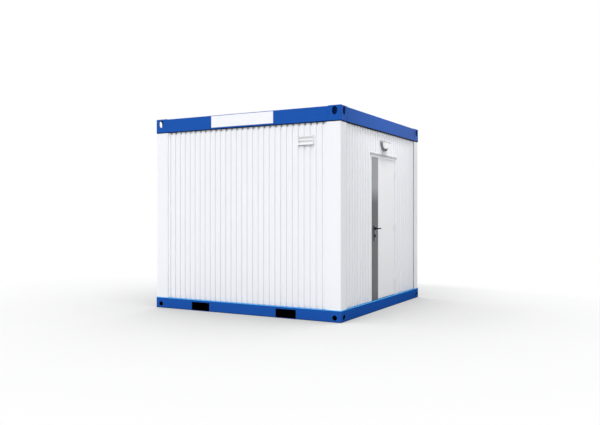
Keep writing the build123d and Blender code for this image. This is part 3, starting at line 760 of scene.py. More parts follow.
def skin(rings):
    """Shape over a row of rings that have as many points each, with closed ends; also its rings."""
    shape = bmesh.new()
    rows = [[shape.verts.new(point) for point in ring] for ring in rings]
    shape.faces.new(rows[0])
    shape.faces.new(rows[-1][::-1])
    for first, second in zip(rows, rows[1:]):
        for i in range(len(first)):
            shape.faces.new((first[i - 1], second[i - 1], second[i], first[i]))
    return shape, rows


def plate(outline, front, back, edge):
    """Plate with an outline in x and z, from a front to a back depth, with a softened front rim."""
    shape, rows = skin([[(x, y, z) for x, z in outline] for y in (front, back)])
    soften(shape, [e for e in shape.edges if set(e.verts) <= set(rows[0])], edge, 3)
    return to_mesh(shape)


def run_along(outline, x0, x1, edge=0.0):
    """Outline in y and z, run along x, with softened edges where an edge is given."""
    shape = skin([[(x, y, z) for y, z in outline] for x in (x0, x1)])[0]
    if edge:
        sharp = math.radians(40)
        soften(shape, [e for e in shape.edges if e.calc_face_angle() > sharp], edge)
    return to_mesh(shape)


def tube(path, radii, sides):
    """Round bar along a path of points, with closed ends."""
    points = [Vector(p) for p in path]
    turns = [k * math.tau / sides for k in range(sides)]
    across, rings = None, []
    for i, point in enumerate(points):
        ahead = (points[min(i + 1, len(points) - 1)] - points[max(i - 1, 0)]).normalized()
        if across is None:
            across = ahead.orthogonal().normalized()
        across = (across - ahead * across.dot(ahead)).normalized()
        other = ahead.cross(across)
        rings.append([point + radii[i] * (across * math.cos(a) + other * math.sin(a)) for a in turns])
    return to_mesh(skin(rings)[0])


def cut(mesh, *cutters):
    """Mesh with other meshes cut out of it."""
    body = placed("body", mesh)
    tools = [placed("tool", cutter) for cutter in cutters]
    for tool in tools:
        step = body.modifiers.new("cut", "BOOLEAN")
        step.operation, step.solver, step.object = "DIFFERENCE", "EXACT", tool
    return plain_mesh(body, *tools)


def chain_mesh(chains):
    """Points of chains, each joined to the next one of its chain."""
    verts, edges = [], []
    for chain in chains:
        edges += [(len(verts) + i, len(verts) + i + 1) for i in range(len(chain) - 1)]
        verts += [tuple(p) for p in chain]
    mesh = bpy.data.meshes.new("chains")
    mesh.from_pydata(verts, edges, [])
    return mesh


def heads(points, radius, finish, height=0.55, washer=1.02, washer_height=0.0008):
    """Screw or rivet heads on points. Their height and their washers are shares of the radius."""
    return grow(fastener_tree, chain_mesh([p] for p in points), corners=12, head_radius=radius,
                head_height=radius * height, washer_radius=radius * washer, washer_height=washer_height,
                finish=finish)


def evenly(first, last, count):
    return [first + (last - first) * i / (count - 1) for i in range(count)]


def whole_wall(side):
    """Corners of a side's unbroken wall. For the door side it is the wall opposite, in its own frame."""
    return side_box(*((side + "_wall", side) if side in LENGTHWISE else ("blind_side_wall", "blind")))


# Operators, one for each piece or group of like pieces.

class CABIN_OT_finishes(bpy.types.Operator):
    """Mix the finishes and give them to the solids that show as they are"""
    bl_idname = "cabin.finishes"
    bl_label = "Finishes"
    bare = {
        "base_rail": "base_blue", "base_corners": "corner_blue", "roof_": "frame_blue",
        # The forklift tubes are painted black inside as painted shade.
        "corner_post": "wall_white", "door_hinges": "door_white", "forklift_tubes": "pocket_black",
        "ceiling_panel": "lining_white", "floor_deck": "floor_grey", "underside_sheets": "galvanised",
    }

    def execute(self, context):
        make_finishes(context.scene)
        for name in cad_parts:
            for start, finish in self.bare.items():
                if name.startswith(start):
                    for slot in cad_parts[name].material_slots:
                        slot.material = finish_of(finish)
        return {"FINISHED"}


class CABIN_OT_walls(bpy.types.Operator):
    """Build the ribbed walls, with the air hole behind the vent, and the fillers of their grooves"""
    bl_idname = "cabin.walls"
    bl_label = "Ribbed walls"
    stretches = {
        "front_wall": "front", "back_wall": "back", "blind_side_wall": "blind",
        "door_wall_lock_side": "door", "door_wall_hinge_side": "door", "door_wall_over": "door",
    }

    def execute(self, context):
        ribs = context.scene.cabin_ribs
        margin = ribs.mouth / 2 + ribs.land
        for node, side in self.stretches.items():
            low, high = side_box(node, side)
            count = int(2 * (whole_wall(side)[1].x - margin) / ribs.pitch + MERGE) + 1
            places = [(i - (count - 1) / 2) * ribs.pitch for i in range(count)]
            places = [p for p in places if low.x + margin - MERGE <= p <= high.x - margin + MERGE]
            mesh = grow(ribbed_wall_tree, start=low.x, end=high.x, first_groove=places[0],
                        grooves=len(places), pitch=ribs.pitch, mouth=ribs.mouth, floor=ribs.floor,
                        depth=ribs.depth, bend=ribs.bend, crest=low.y, inner_face=high.y, foot=low.z,
                        head=high.z, sheet="rib_white", lining="lining_white")
            if node == "front_wall":
                mesh = self.with_air_hole(mesh)
            shape = bmesh.new()
            shape.from_mesh(mesh)
            bmesh.ops.recalc_face_normals(shape, faces=shape.faces)
            shape.to_mesh(mesh)
            shape.free()
            keep("ribbed_" + node, mesh, None, side, (node,))
            self.fillers(node, side, ribs, places, low.y, high.z)
        return {"FINISHED"}

    def fillers(self, node, side, ribs, places, crest, head):
        """Foam fillers that close the tops of the grooves."""
        height, gap, wide, deep = 0.026, 0.001, 1.25, 0.7
        mesh = grow(strip_tree, strips=len(places), first=places[0], pitch=ribs.pitch,
                    width=ribs.floor * wide, thickness=ribs.depth * deep, foot=head - height,
                    head=head - gap, face=crest + ribs.depth * deep / 2, finish="filler_grey")
        keep("groove_fillers_" + node, mesh, None, side)

    def with_air_hole(self, mesh):
        low, high = side_box("vent_slats", "front")
        frame_low, frame_high = side_box("vent_frame", "front")
        border = low.x - frame_low.x
        return cut(mesh, block((low.x, -border, frame_low.z + border),
                               (high.x, HALF_DEPTH, frame_high.z - border)))


class CABIN_OT_welds(bpy.types.Operator):
    """Lay weld beads where the rails meet the corners"""
    bl_idname = "cabin.welds"
    bl_label = "Welds"

    def execute(self, context):
        radius = context.scene.cabin_trim.weld
        pace, base_run = 1.6, 0.02
        foot, bend, cant = 0.012, 0.01, 0.003
        for side in SIDES:
            chains = []
            for level in ("base", "roof"):
                rail = level + "_rail_" + (side if side in LENGTHWISE else side + "_side")
                low, high = side_box(rail, side)
                inner = high.y if level == "roof" else base_run
                chains += [[(x, 0, low.z + foot), (x, 0, high.z - bend), (x, cant, high.z - cant),
                            (x, bend, high.z), (x, inner, high.z)] for x in (low.x, high.x)]
            mesh = grow(weld_tree, chain_mesh(chains), radius=radius, step=radius * pace, finish="frame_blue")
            keep("weld_beads_" + side, mesh, None, side, angle=60.0)
        return {"FINISHED"}


class CABIN_OT_seals(bpy.types.Operator):
    """Lay the dark seals under the roof rails and the grey ones beside the posts of the two ends; their
    darkness also stands in for the shade under the rails and at the steps beside the posts
    """
    bl_idname = "cabin.seals"
    bl_label = "Seals"

    def execute(self, context):
        inset, lap, edge = 0.006, 0.001, 0.001
        long_height, end_height = 0.005, 0.009
        post_width, post_inset = 0.003, 0.015
        for side in SIDES:
            low, high = whole_wall(side)
            behind = low.y + context.scene.cabin_ribs.depth + lap
            lengthwise = side in LENGTHWISE
            half = HALF_LENGTH - inset if lengthwise else HALF_DEPTH - behind
            foot = high.z - (long_height if lengthwise else end_height)
            # The seal's darkness also stands in for the shade under the roof rail.
            seal = block((-half, inset, foot), (half, behind, high.z), edge, 1)
            keep("seal_" + side, seal, "rubber", side)
            if not lengthwise:
                # The grey seals beside the posts also stand in for the shade at the steps beside the posts.
                spans = [((x, post_inset, low.z), (x + post_width, low.y + lap, foot))
                         for x in (low.x, high.x - post_width)]
                keep("post_seals_" + side, blocks(spans, edge, 1), "post_grey", side)
        return {"FINISHED"}


class CABIN_OT_roof(bpy.types.Operator):
    """Build the recessed roof sheet with its standing seams"""
    bl_idname = "cabin.roof"
    bl_label = "Roof"
    seams: IntProperty(name="Seams", description="Standing seams of the roof", default=4, min=1)

    def execute(self, context):
        low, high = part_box("roof_sheet")
        height, width, bead, edge = 0.024, 0.004, 0.005, 0.001
        top = high.z - height
        pitch = (high.x - low.x) / (self.seams + 1)
        mesh = grow(seam_tree, block(low, (high.x, high.y, top), edge, 1), seams=self.seams,
                    first=low.x + pitch, pitch=pitch, level=top, run=high.y - low.y, height=height,
                    width=width, bead=bead, finish="galvanised")
        keep("standing_seam_roof", mesh, None, nodes=("roof_sheet",))
        return {"FINISHED"}


class CABIN_OT_lining(bpy.types.Operator):
    """Fit the joint strips and the skirting of the room"""
    bl_idname = "cabin.lining"
    bl_label = "Lining"

    def execute(self, context):
        trim = context.scene.cabin_trim
        strips, thick, gap = 3, 0.003, 0.001
        for side in ("front", "back", "blind"):
            low, high = whole_wall(side)
            mesh = grow(strip_tree, strips=strips, first=-trim.strip_pitch * (strips - 1) / 2,
                        pitch=trim.strip_pitch, width=trim.strip, thickness=thick,
                        foot=low.z + trim.skirting, head=high.z - gap, face=high.y, finish="lining_white")
            keep("joint_strips_" + side, mesh, None, side)
        self.skirting(trim.skirting)
        return {"FINISHED"}

    def skirting(self, height):
        (x0, y0, _), (x1, y1, foot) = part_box("floor_deck")
        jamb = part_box("door_jamb_hinge_side")[1].y
        thick, edge, top = 0.008, 0.003, foot + height
        runs = [(x0, x1, y0, y0 + thick), (x0, x1, y1 - thick, y1),
                (x0, x0 + thick, y0 + thick, y1 - thick),
                (x1 - thick, x1, y0 + thick, -jamb), (x1 - thick, x1, jamb, y1 - thick)]
        spans = [((left, near, foot), (right, far, top)) for left, right, near, far in runs]
        keep("skirting", blocks(spans, edge), "drip_grey")


class CABIN_OT_door_frame(bpy.types.Operator):
    """Build the jambs, head, sill, seal, strike plate and drip cap of the door"""
    bl_idname = "cabin.door_frame"
    bl_label = "Door frame"

    def execute(self, context):
        trim = context.scene.cabin_trim
        leaf_low, leaf_high = side_box("door_leaf", "door")
        low, high = side_box("door_head", "door")
        sill_low, sill_high = side_box("door_sill", "door")
        rebate, stop, face = high.x, sill_high.x, sill_low.y
        gap, edge = 0.006, 0.0025
        lintel = leaf_high.z + gap
        for name, sign in (("hinge_side", 1), ("lock_side", -1)):
            foot, top = side_box("door_jamb_" + name, "door")
            bar = sorted((sign * rebate, sign * max(abs(foot.x), abs(top.x))))
            lip = sorted((sign * stop, sign * rebate))
            spans = [((bar[0], foot.y, foot.z), (bar[1], top.y, top.z)),
                     ((lip[0], face, foot.z), (lip[1], top.y, lintel))]
            keep("jamb_" + name, blocks(spans, edge), "door_white", "door",
                 ("door_jamb_" + name,))
        spans = [((-rebate, low.y, lintel), (rebate, high.y, high.z)),
                 ((-stop, face, low.z), (stop, high.y, lintel))]
        keep("head_of_door", blocks(spans, edge), "door_white", "door", ("door_head",))
        self.sill(sill_low, sill_high)
        self.seal(trim.seal, face, stop, sill_high.z, lintel)
        self.head_strip(leaf_low.y, face, rebate, lintel)
        self.strike(leaf_low.y, rebate)
        self.drip_cap(trim.rivet)
        return {"FINISHED"}

    def sill(self, low, high):
        """Threshold with a rounded nose and grip ridges."""
        edge, rise, root = 0.001, 0.002, 0.003
        ridges, ridge_half, from_edge, from_end = 4, 0.0015, 0.006, 0.004
        spans = [(low, (high.x, high.y, high.z - rise))]
        spans += [((low.x + from_end, y - ridge_half, high.z - root),
                   (high.x - from_end, y + ridge_half, high.z))
                  for y in evenly(low.y + from_edge, high.y - from_edge, ridges)]
        keep("threshold", blocks(spans, edge), "sill_metal", "door", ("door_sill",))

    def seal(self, thick, face, stop, foot, head):
        """Rubber seal on the stops, in front of the leaf's back."""
        width, from_stop, from_head, round_share = 0.010, 0.003, 0.009, 0.4
        low, inner, top = face - thick, stop + from_stop, head - from_head
        outer = inner + width
        spans = [((-outer, low, foot), (-inner, face, top)), ((inner, low, foot), (outer, face, top)),
                 ((-inner, low, top - width), (inner, face, top))]
        keep("door_seal", blocks(spans, thick * round_share, 3), "seal_grey", "door")

    def head_strip(self, front, face, rebate, lintel):
        """Strip that closes the gap between the leaf and the head."""
        gap, set_back, drop, edge = 0.001, 0.002, 0.004, 0.0008
        strip = block((gap - rebate, front + set_back, lintel - drop),
                      (rebate - gap, face, lintel + gap), edge, 1)
        keep("head_strip", strip, "door_white", "door")

    def strike(self, front, rebate):
        """Strike plate let into the lock-side jamb."""
        lever = side_box("lever_outside", "door")
        level = (lever[0].z + lever[1].z) / 2
        below, above, near, far = 0.15, 0.06, 0.006, 0.032
        sunk, proud, edge = 0.001, 0.0008, 0.0004
        strike = block((-rebate - sunk, front + near, level - below),
                       (-rebate + proud, front + far, level + above), edge, 1)
        keep("strike_plate", strike, "hardware", "door")

    def drip_cap(self, rivet):
        """Folded sheet with closed ends and a hem, riveted to the head."""
        low, high = side_box("door_drip_cap", "door")
        shallower, sheet, fall, drop = 0.008, 0.004, 0.012, 0.019
        edge, inset, end_sheet, end_gap = 0.0008, 0.003, 0.002, 0.0005
        rivets, rivet_inset = 6, 0.04
        low.y += shallower
        bend, hem, inner = high.z - fall, low.z + drop, low.y + sheet
        outline = [(high.y, high.z), (low.y, bend), (low.y, hem), (inner, hem), (inner, bend - sheet),
                   (high.y, high.z - sheet)]
        cap = run_along(outline, low.x, high.x, edge)
        end = [(high.y, high.z - sheet), (inner, bend - sheet), (inner, hem + sheet), (high.y, hem + sheet)]
        ends = [run_along(end, x, x + end_sheet) for x in (low.x + end_gap, high.x - end_gap - end_sheet)]
        keep("drip_cap", joined(cap, *ends), "drip_grey", "door", ("door_drip_cap",))
        flange = block((low.x + inset, low.y + inset, low.z), (high.x - inset, high.y, hem + sheet), edge)
        keep("drip_cap_flange", flange, "door_white", "door")
        spots = [(x, low.y, (hem + bend) / 2)
                 for x in evenly(low.x + rivet_inset, high.x - rivet_inset, rivets)]
        keep("drip_cap_rivets", heads(spots, rivet, "drip_grey"), None, "door")


class CABIN_OT_door_leaf(bpy.types.Operator):
    """Build the leaf, its edge channels, its steel lock plate and their rivets"""
    bl_idname = "cabin.door_leaf"
    bl_label = "Door leaf"

    def execute(self, context):
        leaf_edge, plate_edge = 0.003, 0.0007
        rivets, size, in_x, in_z = 9, 0.8, 0.012, 0.03
        low, high = side_box("door_leaf", "door")
        leaf = block(low, high, leaf_edge, 3)
        keep("leaf", leaf, "door_white", "door", ("door_leaf",), "door")
        self.edge_channels(low, high)
        low, high = side_box("door_lock_plate", "door")
        sheet = block(low, high, plate_edge)
        keep("lock_plate", sheet, "steel", "door", ("door_lock_plate",), "door")
        spots = [(x, low.y, z) for x in (low.x + in_x, high.x - in_x)
                 for z in evenly(low.z + in_z, high.z - in_z, rivets)]
        rows = heads(spots, context.scene.cabin_trim.rivet * size, "steel")
        keep("lock_plate_rivets", rows, None, "door", body="door")
        return {"FINISHED"}

    def edge_channels(self, low, high):
        """Folded edge channels at the foot and the head of the leaf's back."""
        inset, sunk, proud, edge = 0.03, 0.0005, 0.0015, 0.0006
        from_foot, from_head, reach = 0.006, 0.026, 0.05
        levels = ((low.z + from_foot, low.z + reach), (high.z - reach, high.z - from_head))
        spans = [((low.x + inset, high.y - sunk, foot), (high.x - inset, high.y + proud, top))
                 for foot, top in levels]
        keep("leaf_channels", blocks(spans, edge), "door_white", "door", body="door")


class CABIN_OT_lock(bpy.types.Operator):
    """Build the handle plates, the levers and the lock cylinder"""
    bl_idname = "cabin.lock"
    bl_label = "Lock"

    def execute(self, context):
        self.plates(context.scene.cabin_trim.screw)
        self.levers()
        self.cylinder()
        return {"FINISHED"}

    def faces(self):
        """Name and way out of each face of the leaf, and the corners, front and back of its plate."""
        for face, out in (("outside", -1), ("inside", 1)):
            low, high = side_box("handle_plate_" + face, "door")
            front, back = (low.y, high.y) if out < 0 else (high.y, low.y)
            yield face, out, low, high, front, back

    def plates(self, screw):
        corner, edge, from_foot, from_top = 0.012, 0.0025, 0.014, 0.012
        flat = {"height": 0.5, "washer": 1.1, "washer_height": 0.0006}
        for face, out, low, high, front, back in self.faces():
            outline = rounded_outline(rectangle(low.x, high.x, low.z, high.z), [corner] * 4)
            keep("handle_plate_" + face + "_formed", plate(outline, front, back, edge), "hardware",
                 "door", ("handle_plate_" + face,), "door")
            middle, foot, top = (low.x + high.x) / 2, low.z + from_foot, high.z - from_top
            screws = heads([(middle, 0, foot), (middle, 0, top)], screw, "hardware", **flat)
            if out > 0:
                screws.transform(Matrix.Translation((0, 0, foot + top)) @ Matrix.Rotation(math.pi, 4, "X"))
            screws.transform(Matrix.Translation((0, front, 0)))
            keep("handle_screws_" + face, screws, None, "door", body="door")

    def levers(self):
        neck, bend, shorter, sag = 0.010, 0.020, 0.020, 0.004
        slim, swell, least = 0.92, 0.06, 0.0004
        bend_steps, grip_steps, end_steps = 8, 12, 5
        bar_sides, rose_sides = 24, 28
        rose_steps = ((0.0002, 0.0205), (0.0070, 0.0205), (0.0090, 0.0180))
        for face, out, _, _, front, back in self.faces():
            low, high = side_box("lever_" + face, "door")
            radius, level = (high.z - low.z) / 2, (low.z + high.z) / 2
            pivot, end = low.x + radius, high.x - radius - shorter
            tip = low.y + radius if out < 0 else high.y - radius
            path = [(pivot, back), (pivot, back + out * neck)]
            radii = [radius, radius]
            for k in range(bend_steps + 1):
                a = k / bend_steps * QUARTER
                path.append((pivot + bend * (1 - math.cos(a)), tip - out * bend * (1 - math.sin(a))))
                radii.append(radius * (1.0 - (1.0 - slim) * k / bend_steps))
            for k in range(1, grip_steps + 1):
                share = k / grip_steps
                path.append((pivot + bend + (end - pivot - bend) * share, tip - out * sag * share * share))
                radii.append(radius * (slim + swell * math.sin(share * math.pi)))
            last = path[-1]
            for k in range(1, end_steps + 1):
                a = k / end_steps * QUARTER
                path.append((last[0] + radius * slim * math.sin(a), last[1]))
                radii.append(max(radius * slim * math.cos(a), least))
            bar = tube([(x, y, level) for x, y in path], radii, bar_sides)
            keep("lever_bar_" + face, bar, "lever_black", "door", ("lever_" + face,), "lever",
                 angle=50.0)
            rose = tube([(pivot, front + out * depth, level) for depth, _ in rose_steps],
                        [wide for _, wide in rose_steps], rose_sides)
            keep("lever_rose_" + face, rose, "lever_black", "door", body="door")

    def cylinder(self):
        low, high = side_box("lock_cylinder", "door")
        x, z, radius = (low.x + high.x) / 2, (low.z + high.z) / 2, (high.x - low.x) / 2
        sides, edge = 28, 0.001
        slot_half, slot_depth, slot_below, slot_above = 0.0009, 0.004, 0.005, 0.0035
        shield_half, shield_below, shield_above, shield_corner = 0.0155, 0.026, 0.018, 0.0154
        proud, sunk, rim = 0.0048, 0.0005, 0.0015
        core = tube([(x, y, z) for y in (low.y, low.y + edge, high.y - edge, high.y)],
                    [radius - edge, radius, radius, radius - edge], sides)
        slots = [block((x - slot_half, y - slot_depth, z - slot_below),
                       (x + slot_half, y + slot_depth, z + slot_above)) for y in (low.y, high.y)]
        ring = rounded_outline(rectangle(x - shield_half, x + shield_half, z - shield_below,
                                         z + shield_above), [shield_corner] * 4)
        for face, out, _, _, front, _ in self.faces():
            keep("cylinder_shield_" + face, plate(ring, front + out * proud, front - out * sunk, rim),
                 "lever_black", "door", body="door")
        keep("cylinder_with_keyway", cut(core, *slots), "lever_black", "door", ("lock_cylinder",),
             "door")


class CABIN_OT_lamp(bpy.types.Operator):
    """Build the lamp over the door: housing, hood, bowl and sensor"""
    bl_idname = "cabin.lamp"
    bl_label = "Lamp"

    def execute(self, context):
        low, high = side_box("lamp_bowl", "door")
        self.housing(high.z)
        self.bowl(low, high)
        self.sensor()
        return {"FINISHED"}

    def housing(self, hood_foot):
        """Rounded housing with a plain sloping hood above the bowl."""
        low, high = side_box("lamp_housing", "door")
        bulge, steps, body_edge = 1.12, 28, 0.006
        slope, hood_edge = 0.018, 0.0015
        outline = []
        for k in range(steps + 1):
            across, down = -math.cos(math.pi * k / steps), math.sin(math.pi * k / steps)
            outline.append((math.copysign(abs(across) ** bulge, across) * high.x,
                            hood_foot - down ** bulge * (hood_foot - low.z)))
        keep("lamp_body", plate(outline, (low.y + high.y) / 2, high.y, body_edge), "lamp_grey",
             "door", ("lamp_housing",))
        outline = rounded_outline([(high.y, hood_foot), (low.y, hood_foot), (low.y, high.z - slope),
                                   (high.y, high.z)], [0, 0.003, 0.006, 0.003], 5)
        keep("lamp_hood", run_along(outline, low.x, high.x, hood_edge), "hood_grey", "door")

    def bowl(self, low, high):
        """Domed half-moon bowl that swells forward below the hood."""
        edge, corner, steps, least = 0.002, 0.08, 14, 0.02
        wide_power, tall_power, deep_power = 0.32, 0.6, 0.9
        outline = rounded_outline(rectangle(low.x + edge, high.x - edge, low.z + edge, high.z),
                                  [corner, corner, 0, 0], steps)
        rings = []
        for k in range(steps + 1):
            a = k / steps * QUARTER
            turn = math.cos(a) if k < steps else 0.0
            wide, tall = (max(turn ** power, least) for power in (wide_power, tall_power))
            y = high.y - (high.y - low.y) * math.sin(a) ** deep_power
            rings.append([(x * wide, y, high.z - (high.z - z) * tall) for x, z in outline])
        keep("lamp_bowl_domed", to_mesh(skin(rings)[0]), "lamp_opal", "door", ("lamp_bowl",),
             angle=60.0)

    def sensor(self):
        """Tapered block with a round eye."""
        low, high = side_box("lamp_sensor", "door")
        x, z = (low.x + high.x) / 2, (low.z + high.z) / 2
        shallower, corner, eye_sides = 0.011, 0.008, 20
        half, front = (high.x - low.x) / 2, low.y + shallower
        taper = ((high.y, 1.0), (front + 0.010, 0.82), (front + 0.003, 0.70), (front, 0.55))
        outline = rounded_outline(rectangle(-half, half, low.z - z, high.z - z), [corner] * 4, 5)
        rings = [[(x + a * share, y, z + b * share) for a, b in outline] for y, share in taper]
        keep("lamp_sensor_block", to_mesh(skin(rings)[0]), "sensor_grey", "door",
             ("lamp_sensor",))
        dome = ((0.004, 0.010), (0.0005, 0.0095), (-0.002, 0.007), (-0.0035, 0.003))
        eye = tube([(x, front + y, z) for y, _ in dome], [wide for _, wide in dome], eye_sides)
        keep("lamp_sensor_eye", eye, "lever_black", "door", angle=60.0)


class CABIN_OT_vent(bpy.types.Operator):
    """Build the vent: frame with a lip, gasket, louvres, insect mesh and screws"""
    bl_idname = "cabin.vent"
    bl_label = "Vent"

    def execute(self, context):
        scene = context.scene
        low, high = side_box("vent_frame", "front")
        border = side_box("vent_slats", "front")[0].x - low.x
        proud, back, sheet, edge = 0.016, 0.020, 0.002, 0.0008
        lip_low, lip_high, lip_edge = 0.014, 0.024, 0.0012
        gasket_back, gasket_height, gasket_edge = 0.004, 0.0028, 0.0006
        screw_rise, screw_size = 0.018, 0.7
        front = high.y - proud
        x0, x1, z0, z1 = low.x + border, high.x - border, low.z + border, high.z - border
        in_x0, in_x1 = low.x + border / 2, high.x - border / 2
        borders = ((low.x, high.x, low.z, z0), (low.x, high.x, z1, high.z),
                   (low.x, x0, z0, z1), (x1, high.x, z0, z1))
        spans = [((left, front, foot), (right, high.y, top)) for left, right, foot, top in borders]
        spans.append(((x0, high.y + back, z0), (x1, high.y + back + sheet, z1)))
        lip = run_along([(front, low.z), (low.y, low.z), (low.y, low.z + lip_low), (front, low.z + lip_high)],
                        in_x0, in_x1, lip_edge)
        keep("vent_surround", joined(blocks(spans, edge), lip), "vent_white", "front",
             ("vent_frame",))
        # Dark gasket under the lip; its darkness also stands in for the shadow under the lip.
        gasket = block((in_x0, front + gasket_back, low.z - gasket_height),
                       (in_x1, high.y + scene.cabin_ribs.depth, low.z), gasket_edge, 1)
        keep("vent_gasket", gasket, "rubber", "front")
        self.louvres(x0, x1, z0, z1, high.y)
        self.insect_mesh(scene.cabin_trim.wire_pitch, x0, x1, z0, z1, high.y)
        spots = [(x, front, z) for x in (in_x0, in_x1) for z in (low.z + screw_rise, high.z - border / 2)]
        screws = heads(spots, scene.cabin_trim.screw * screw_size, "hardware")
        keep("vent_screws", screws, None, "front")
        return {"FINISHED"}

    def louvres(self, x0, x1, z0, z1, face):
        slats, lap, thick = 2, 1.15, 0.003
        behind, tilt = 0.006, 78
        pitch = (z1 - z0) / slats
        mesh = grow(louvre_tree, slats=slats, middle=(x0 + x1) / 2, lowest=z0 + pitch / 2, pitch=pitch,
                    depth_place=face + behind, width=x1 - x0, chord=pitch * lap, thickness=thick,
                    tilt=math.radians(tilt), finish="vent_white")
        keep("vent_louvres", mesh, None, "front", ("vent_slats",))

    def insect_mesh(self, pitch, x0, x1, z0, z1, face):
        behind, radius = 0.03, 0.0008
        mesh = grow(wire_tree, upright=int((x1 - x0) / pitch), level=int((z1 - z0) / pitch),
                    middle=(x0 + x1) / 2, height=(z0 + z1) / 2, depth_place=face + behind, width=x1 - x0,
                    rise=z1 - z0, pitch=pitch, wire_radius=radius, finish="drip_grey")
        keep("vent_insect_mesh", mesh, None, "front", angle=80.0)


class CABIN_OT_sign(bpy.types.Operator):
    """Build the bare plate on the front roof rail and its rivets"""
    bl_idname = "cabin.sign"
    bl_label = "Bare plate"

    def execute(self, context):
        low, high = side_box("sign_plate", "front")
        corner, edge = 0.006, 0.0008
        rivets, size, in_x, in_z = 3, 0.8, 0.014, 0.012
        outline = rounded_outline(rectangle(low.x, high.x, low.z, high.z), [corner] * 4, 6)
        keep("bare_plate", plate(outline, low.y, high.y, edge), "sign_white", "front",
             ("sign_plate",))
        spots = [(x, low.y, z) for x in evenly(low.x + in_x, high.x - in_x, rivets)
                 for z in (low.z + in_z, high.z - in_z)]
        rows = heads(spots, context.scene.cabin_trim.rivet * size, "sign_white")
        keep("bare_plate_rivets", rows, None, "front")
        return {"FINISHED"}


def seen_directly(pen):
    """One for rays from the camera and for mirrored or refracted ones."""
    path = pen.shade("LightPath")
    mirrored = pen.math("MAXIMUM", path["Is Glossy Ray"], path["Is Transmission Ray"])
    return pen.math("MAXIMUM", path["Is Camera Ray"], mirrored)


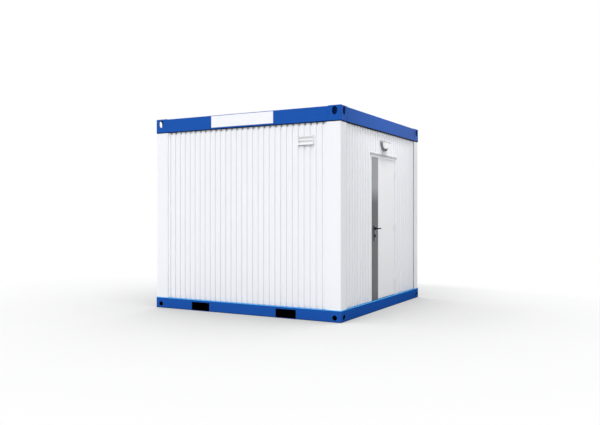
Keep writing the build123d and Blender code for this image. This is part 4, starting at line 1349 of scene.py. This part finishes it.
class CABIN_OT_stage(bpy.types.Operator):
    """Set the floor, the lamps, the light from all round and the camera"""
    bl_idname = "cabin.stage"
    bl_label = "Stage"

    def execute(self, context):
        scene = context.scene
        stage = scene.cabin_stage
        scene.view_settings.view_transform = "Standard"
        self.camera(scene, stage)
        self.surroundings(scene, stage.ambient)
        self.sun("front_lamp", stage.key, (-0.22, -1.0, 1.15), 22)
        self.sun("overhead_lamp", stage.overhead, (-0.05, -0.1, 1.0), 75)
        self.wash(stage.wash)
        self.floor(stage.floor_tone)
        return {"FINISHED"}

    def camera(self, scene, stage):
        lens = bpy.data.cameras.new("camera")
        lens.lens, lens.sensor_width, lens.clip_end = stage.lens, 36, 500
        scene.camera = placed("camera", lens)
        scene.camera.location = stage.place
        scene.camera.rotation_euler = (QUARTER, 0, stage.turn)

    def surroundings(self, scene, ambient):
        """Soft light from all round, and plain white where the camera sees past the floor."""
        world = scene.world = bpy.data.worlds.new("surroundings")
        world.use_nodes = True
        world.node_tree.nodes.clear()
        pen = Pen(world.node_tree)
        soft = pen.shade("Background", {"Color": (0.97, 0.985, 1, 1), "Strength": ambient})[0]
        white = pen.shade("Background", {"Color": (1, 1, 1, 1), "Strength": 1.0})[0]
        mixed = pen.shade("MixShader", {0: seen_directly(pen), 1: soft, 2: white})[0]
        pen.shade("OutputWorld", {"Surface": mixed})

    def sun(self, name, strength, toward, spread):
        distance = 6
        light = bpy.data.lights.new(name, "SUN")
        light.energy, light.angle = strength, math.radians(spread)
        self.hang(light, Vector(toward) * distance, Vector(toward))

    def wash(self, power):
        """Wide lamp high beside the door, which lights the top of that side most."""
        light = bpy.data.lights.new("wash_lamp", "AREA")
        out, height, aim_height, spread = 0.7, 5.6, 2.4, 40
        light.shape, light.size, light.size_y, light.energy = "RECTANGLE", 2.2, 0.25, power
        light.spread = math.radians(spread)
        place, aim = Vector((HALF_LENGTH + out, 0, height)), Vector((HALF_LENGTH, 0, aim_height))
        self.hang(light, place, place - aim)

    def hang(self, light, place, toward):
        lamp = placed(light.name, light)
        lamp.location = place
        lamp.visible_camera = False
        lamp.rotation_euler = toward.to_track_quat("Z", "Y").to_euler()

    def floor(self, tone):
        """Wide pale floor that shades softly near the cabin and fades to white further out."""
        half, drop = 120, 0.001
        mesh = bpy.data.meshes.new("floor")
        mesh.from_pydata([(-half, -half, 0), (half, -half, 0), (half, half, 0), (-half, half, 0)], [],
                         [(0, 1, 2, 3)])
        floor = placed("floor", mesh)
        floor.location.z = -drop
        material = bpy.data.materials.new("pale_floor")
        material.use_nodes = True
        mesh.materials.append(material)
        nodes = material.node_tree.nodes
        pen, shader = Pen(material.node_tree), nodes["Principled BSDF"]
        reach, covered, clear, darkest = 8.0, 0.5, 0.97, 0.60
        fade_from, fade_to, behind, least_glow = 3.0, 6.8, 1.7, 0.7
        near = pen.shade("AmbientOcclusion", {"Distance": reach}, samples=12)["AO"]
        soft = pen.ramp(near, covered, clear, darkest)
        shade = pen.times(soft, tone)
        grey = pen.shade("CombineColor", {0: shade, 1: shade, 2: shade})[0]
        for key, value in (("Base Color", grey), ("Roughness", 1.0), ("Specular IOR Level", 0.0)):
            pen.join(value, shader.inputs[key])
        at = pen.split(pen.at())
        y = pen.math("MAXIMUM", at[1], pen.times(at[1], behind))
        far = pen.shade("VectorMath", {0: pen.vector(at[0], y, 0.0)}, operation="LENGTH")["Value"]
        fade = pen.ramp(far, fade_from, fade_to, interpolation_type="SMOOTHSTEP")
        bright = pen.times_plus(pen.minus(1.0, soft), fade, soft)
        glow = pen.shade("Emission", {"Color": (1, 1, 1, 1), "Strength": bright})[0]
        share = pen.times(pen.math("MAXIMUM", fade, least_glow), seen_directly(pen))
        mixed = pen.shade("MixShader", {0: share, 1: shader.outputs[0], 2: glow})[0]
        pen.join(mixed, nodes["Material Output"].inputs["Surface"])


OPERATORS = (
    CABIN_OT_finishes, CABIN_OT_walls, CABIN_OT_seals, CABIN_OT_welds, CABIN_OT_roof, CABIN_OT_lining,
    CABIN_OT_door_frame, CABIN_OT_door_leaf, CABIN_OT_lock, CABIN_OT_lamp, CABIN_OT_vent, CABIN_OT_sign,
    CABIN_OT_stage,
)


class CABIN_PT_panel(bpy.types.Panel):
    """Lists the steps that build the cabin, and their sizes and colours"""
    bl_idname = "CABIN_PT_panel"
    bl_label = "Cabin"
    bl_space_type = "VIEW_3D"
    bl_region_type = "UI"
    bl_category = "Cabin"

    def draw(self, context):
        for operator in OPERATORS:
            self.layout.operator(operator.bl_idname)
        for name, group in SETTINGS.items():
            box = self.layout.box()
            box.label(text=group.__doc__)
            for key in group.__annotations__:
                box.prop(getattr(context.scene, name), key)


def register():
    for group in SETTINGS.values():
        bpy.utils.register_class(group)
    for name, group in SETTINGS.items():
        setattr(bpy.types.Scene, name, PointerProperty(type=group))
    for operator in (*OPERATORS, CABIN_PT_panel):
        bpy.utils.register_class(operator)


def unregister():
    for operator in (CABIN_PT_panel, *reversed(OPERATORS)):
        bpy.utils.unregister_class(operator)
    for name in SETTINGS:
        delattr(bpy.types.Scene, name)
    for group in SETTINGS.values():
        bpy.utils.unregister_class(group)


def main():
    register()
    for operator in OPERATORS:
        group, name = operator.bl_idname.split(".")
        getattr(getattr(bpy.ops, group), name)()


if __name__ == "__main__":
    main()
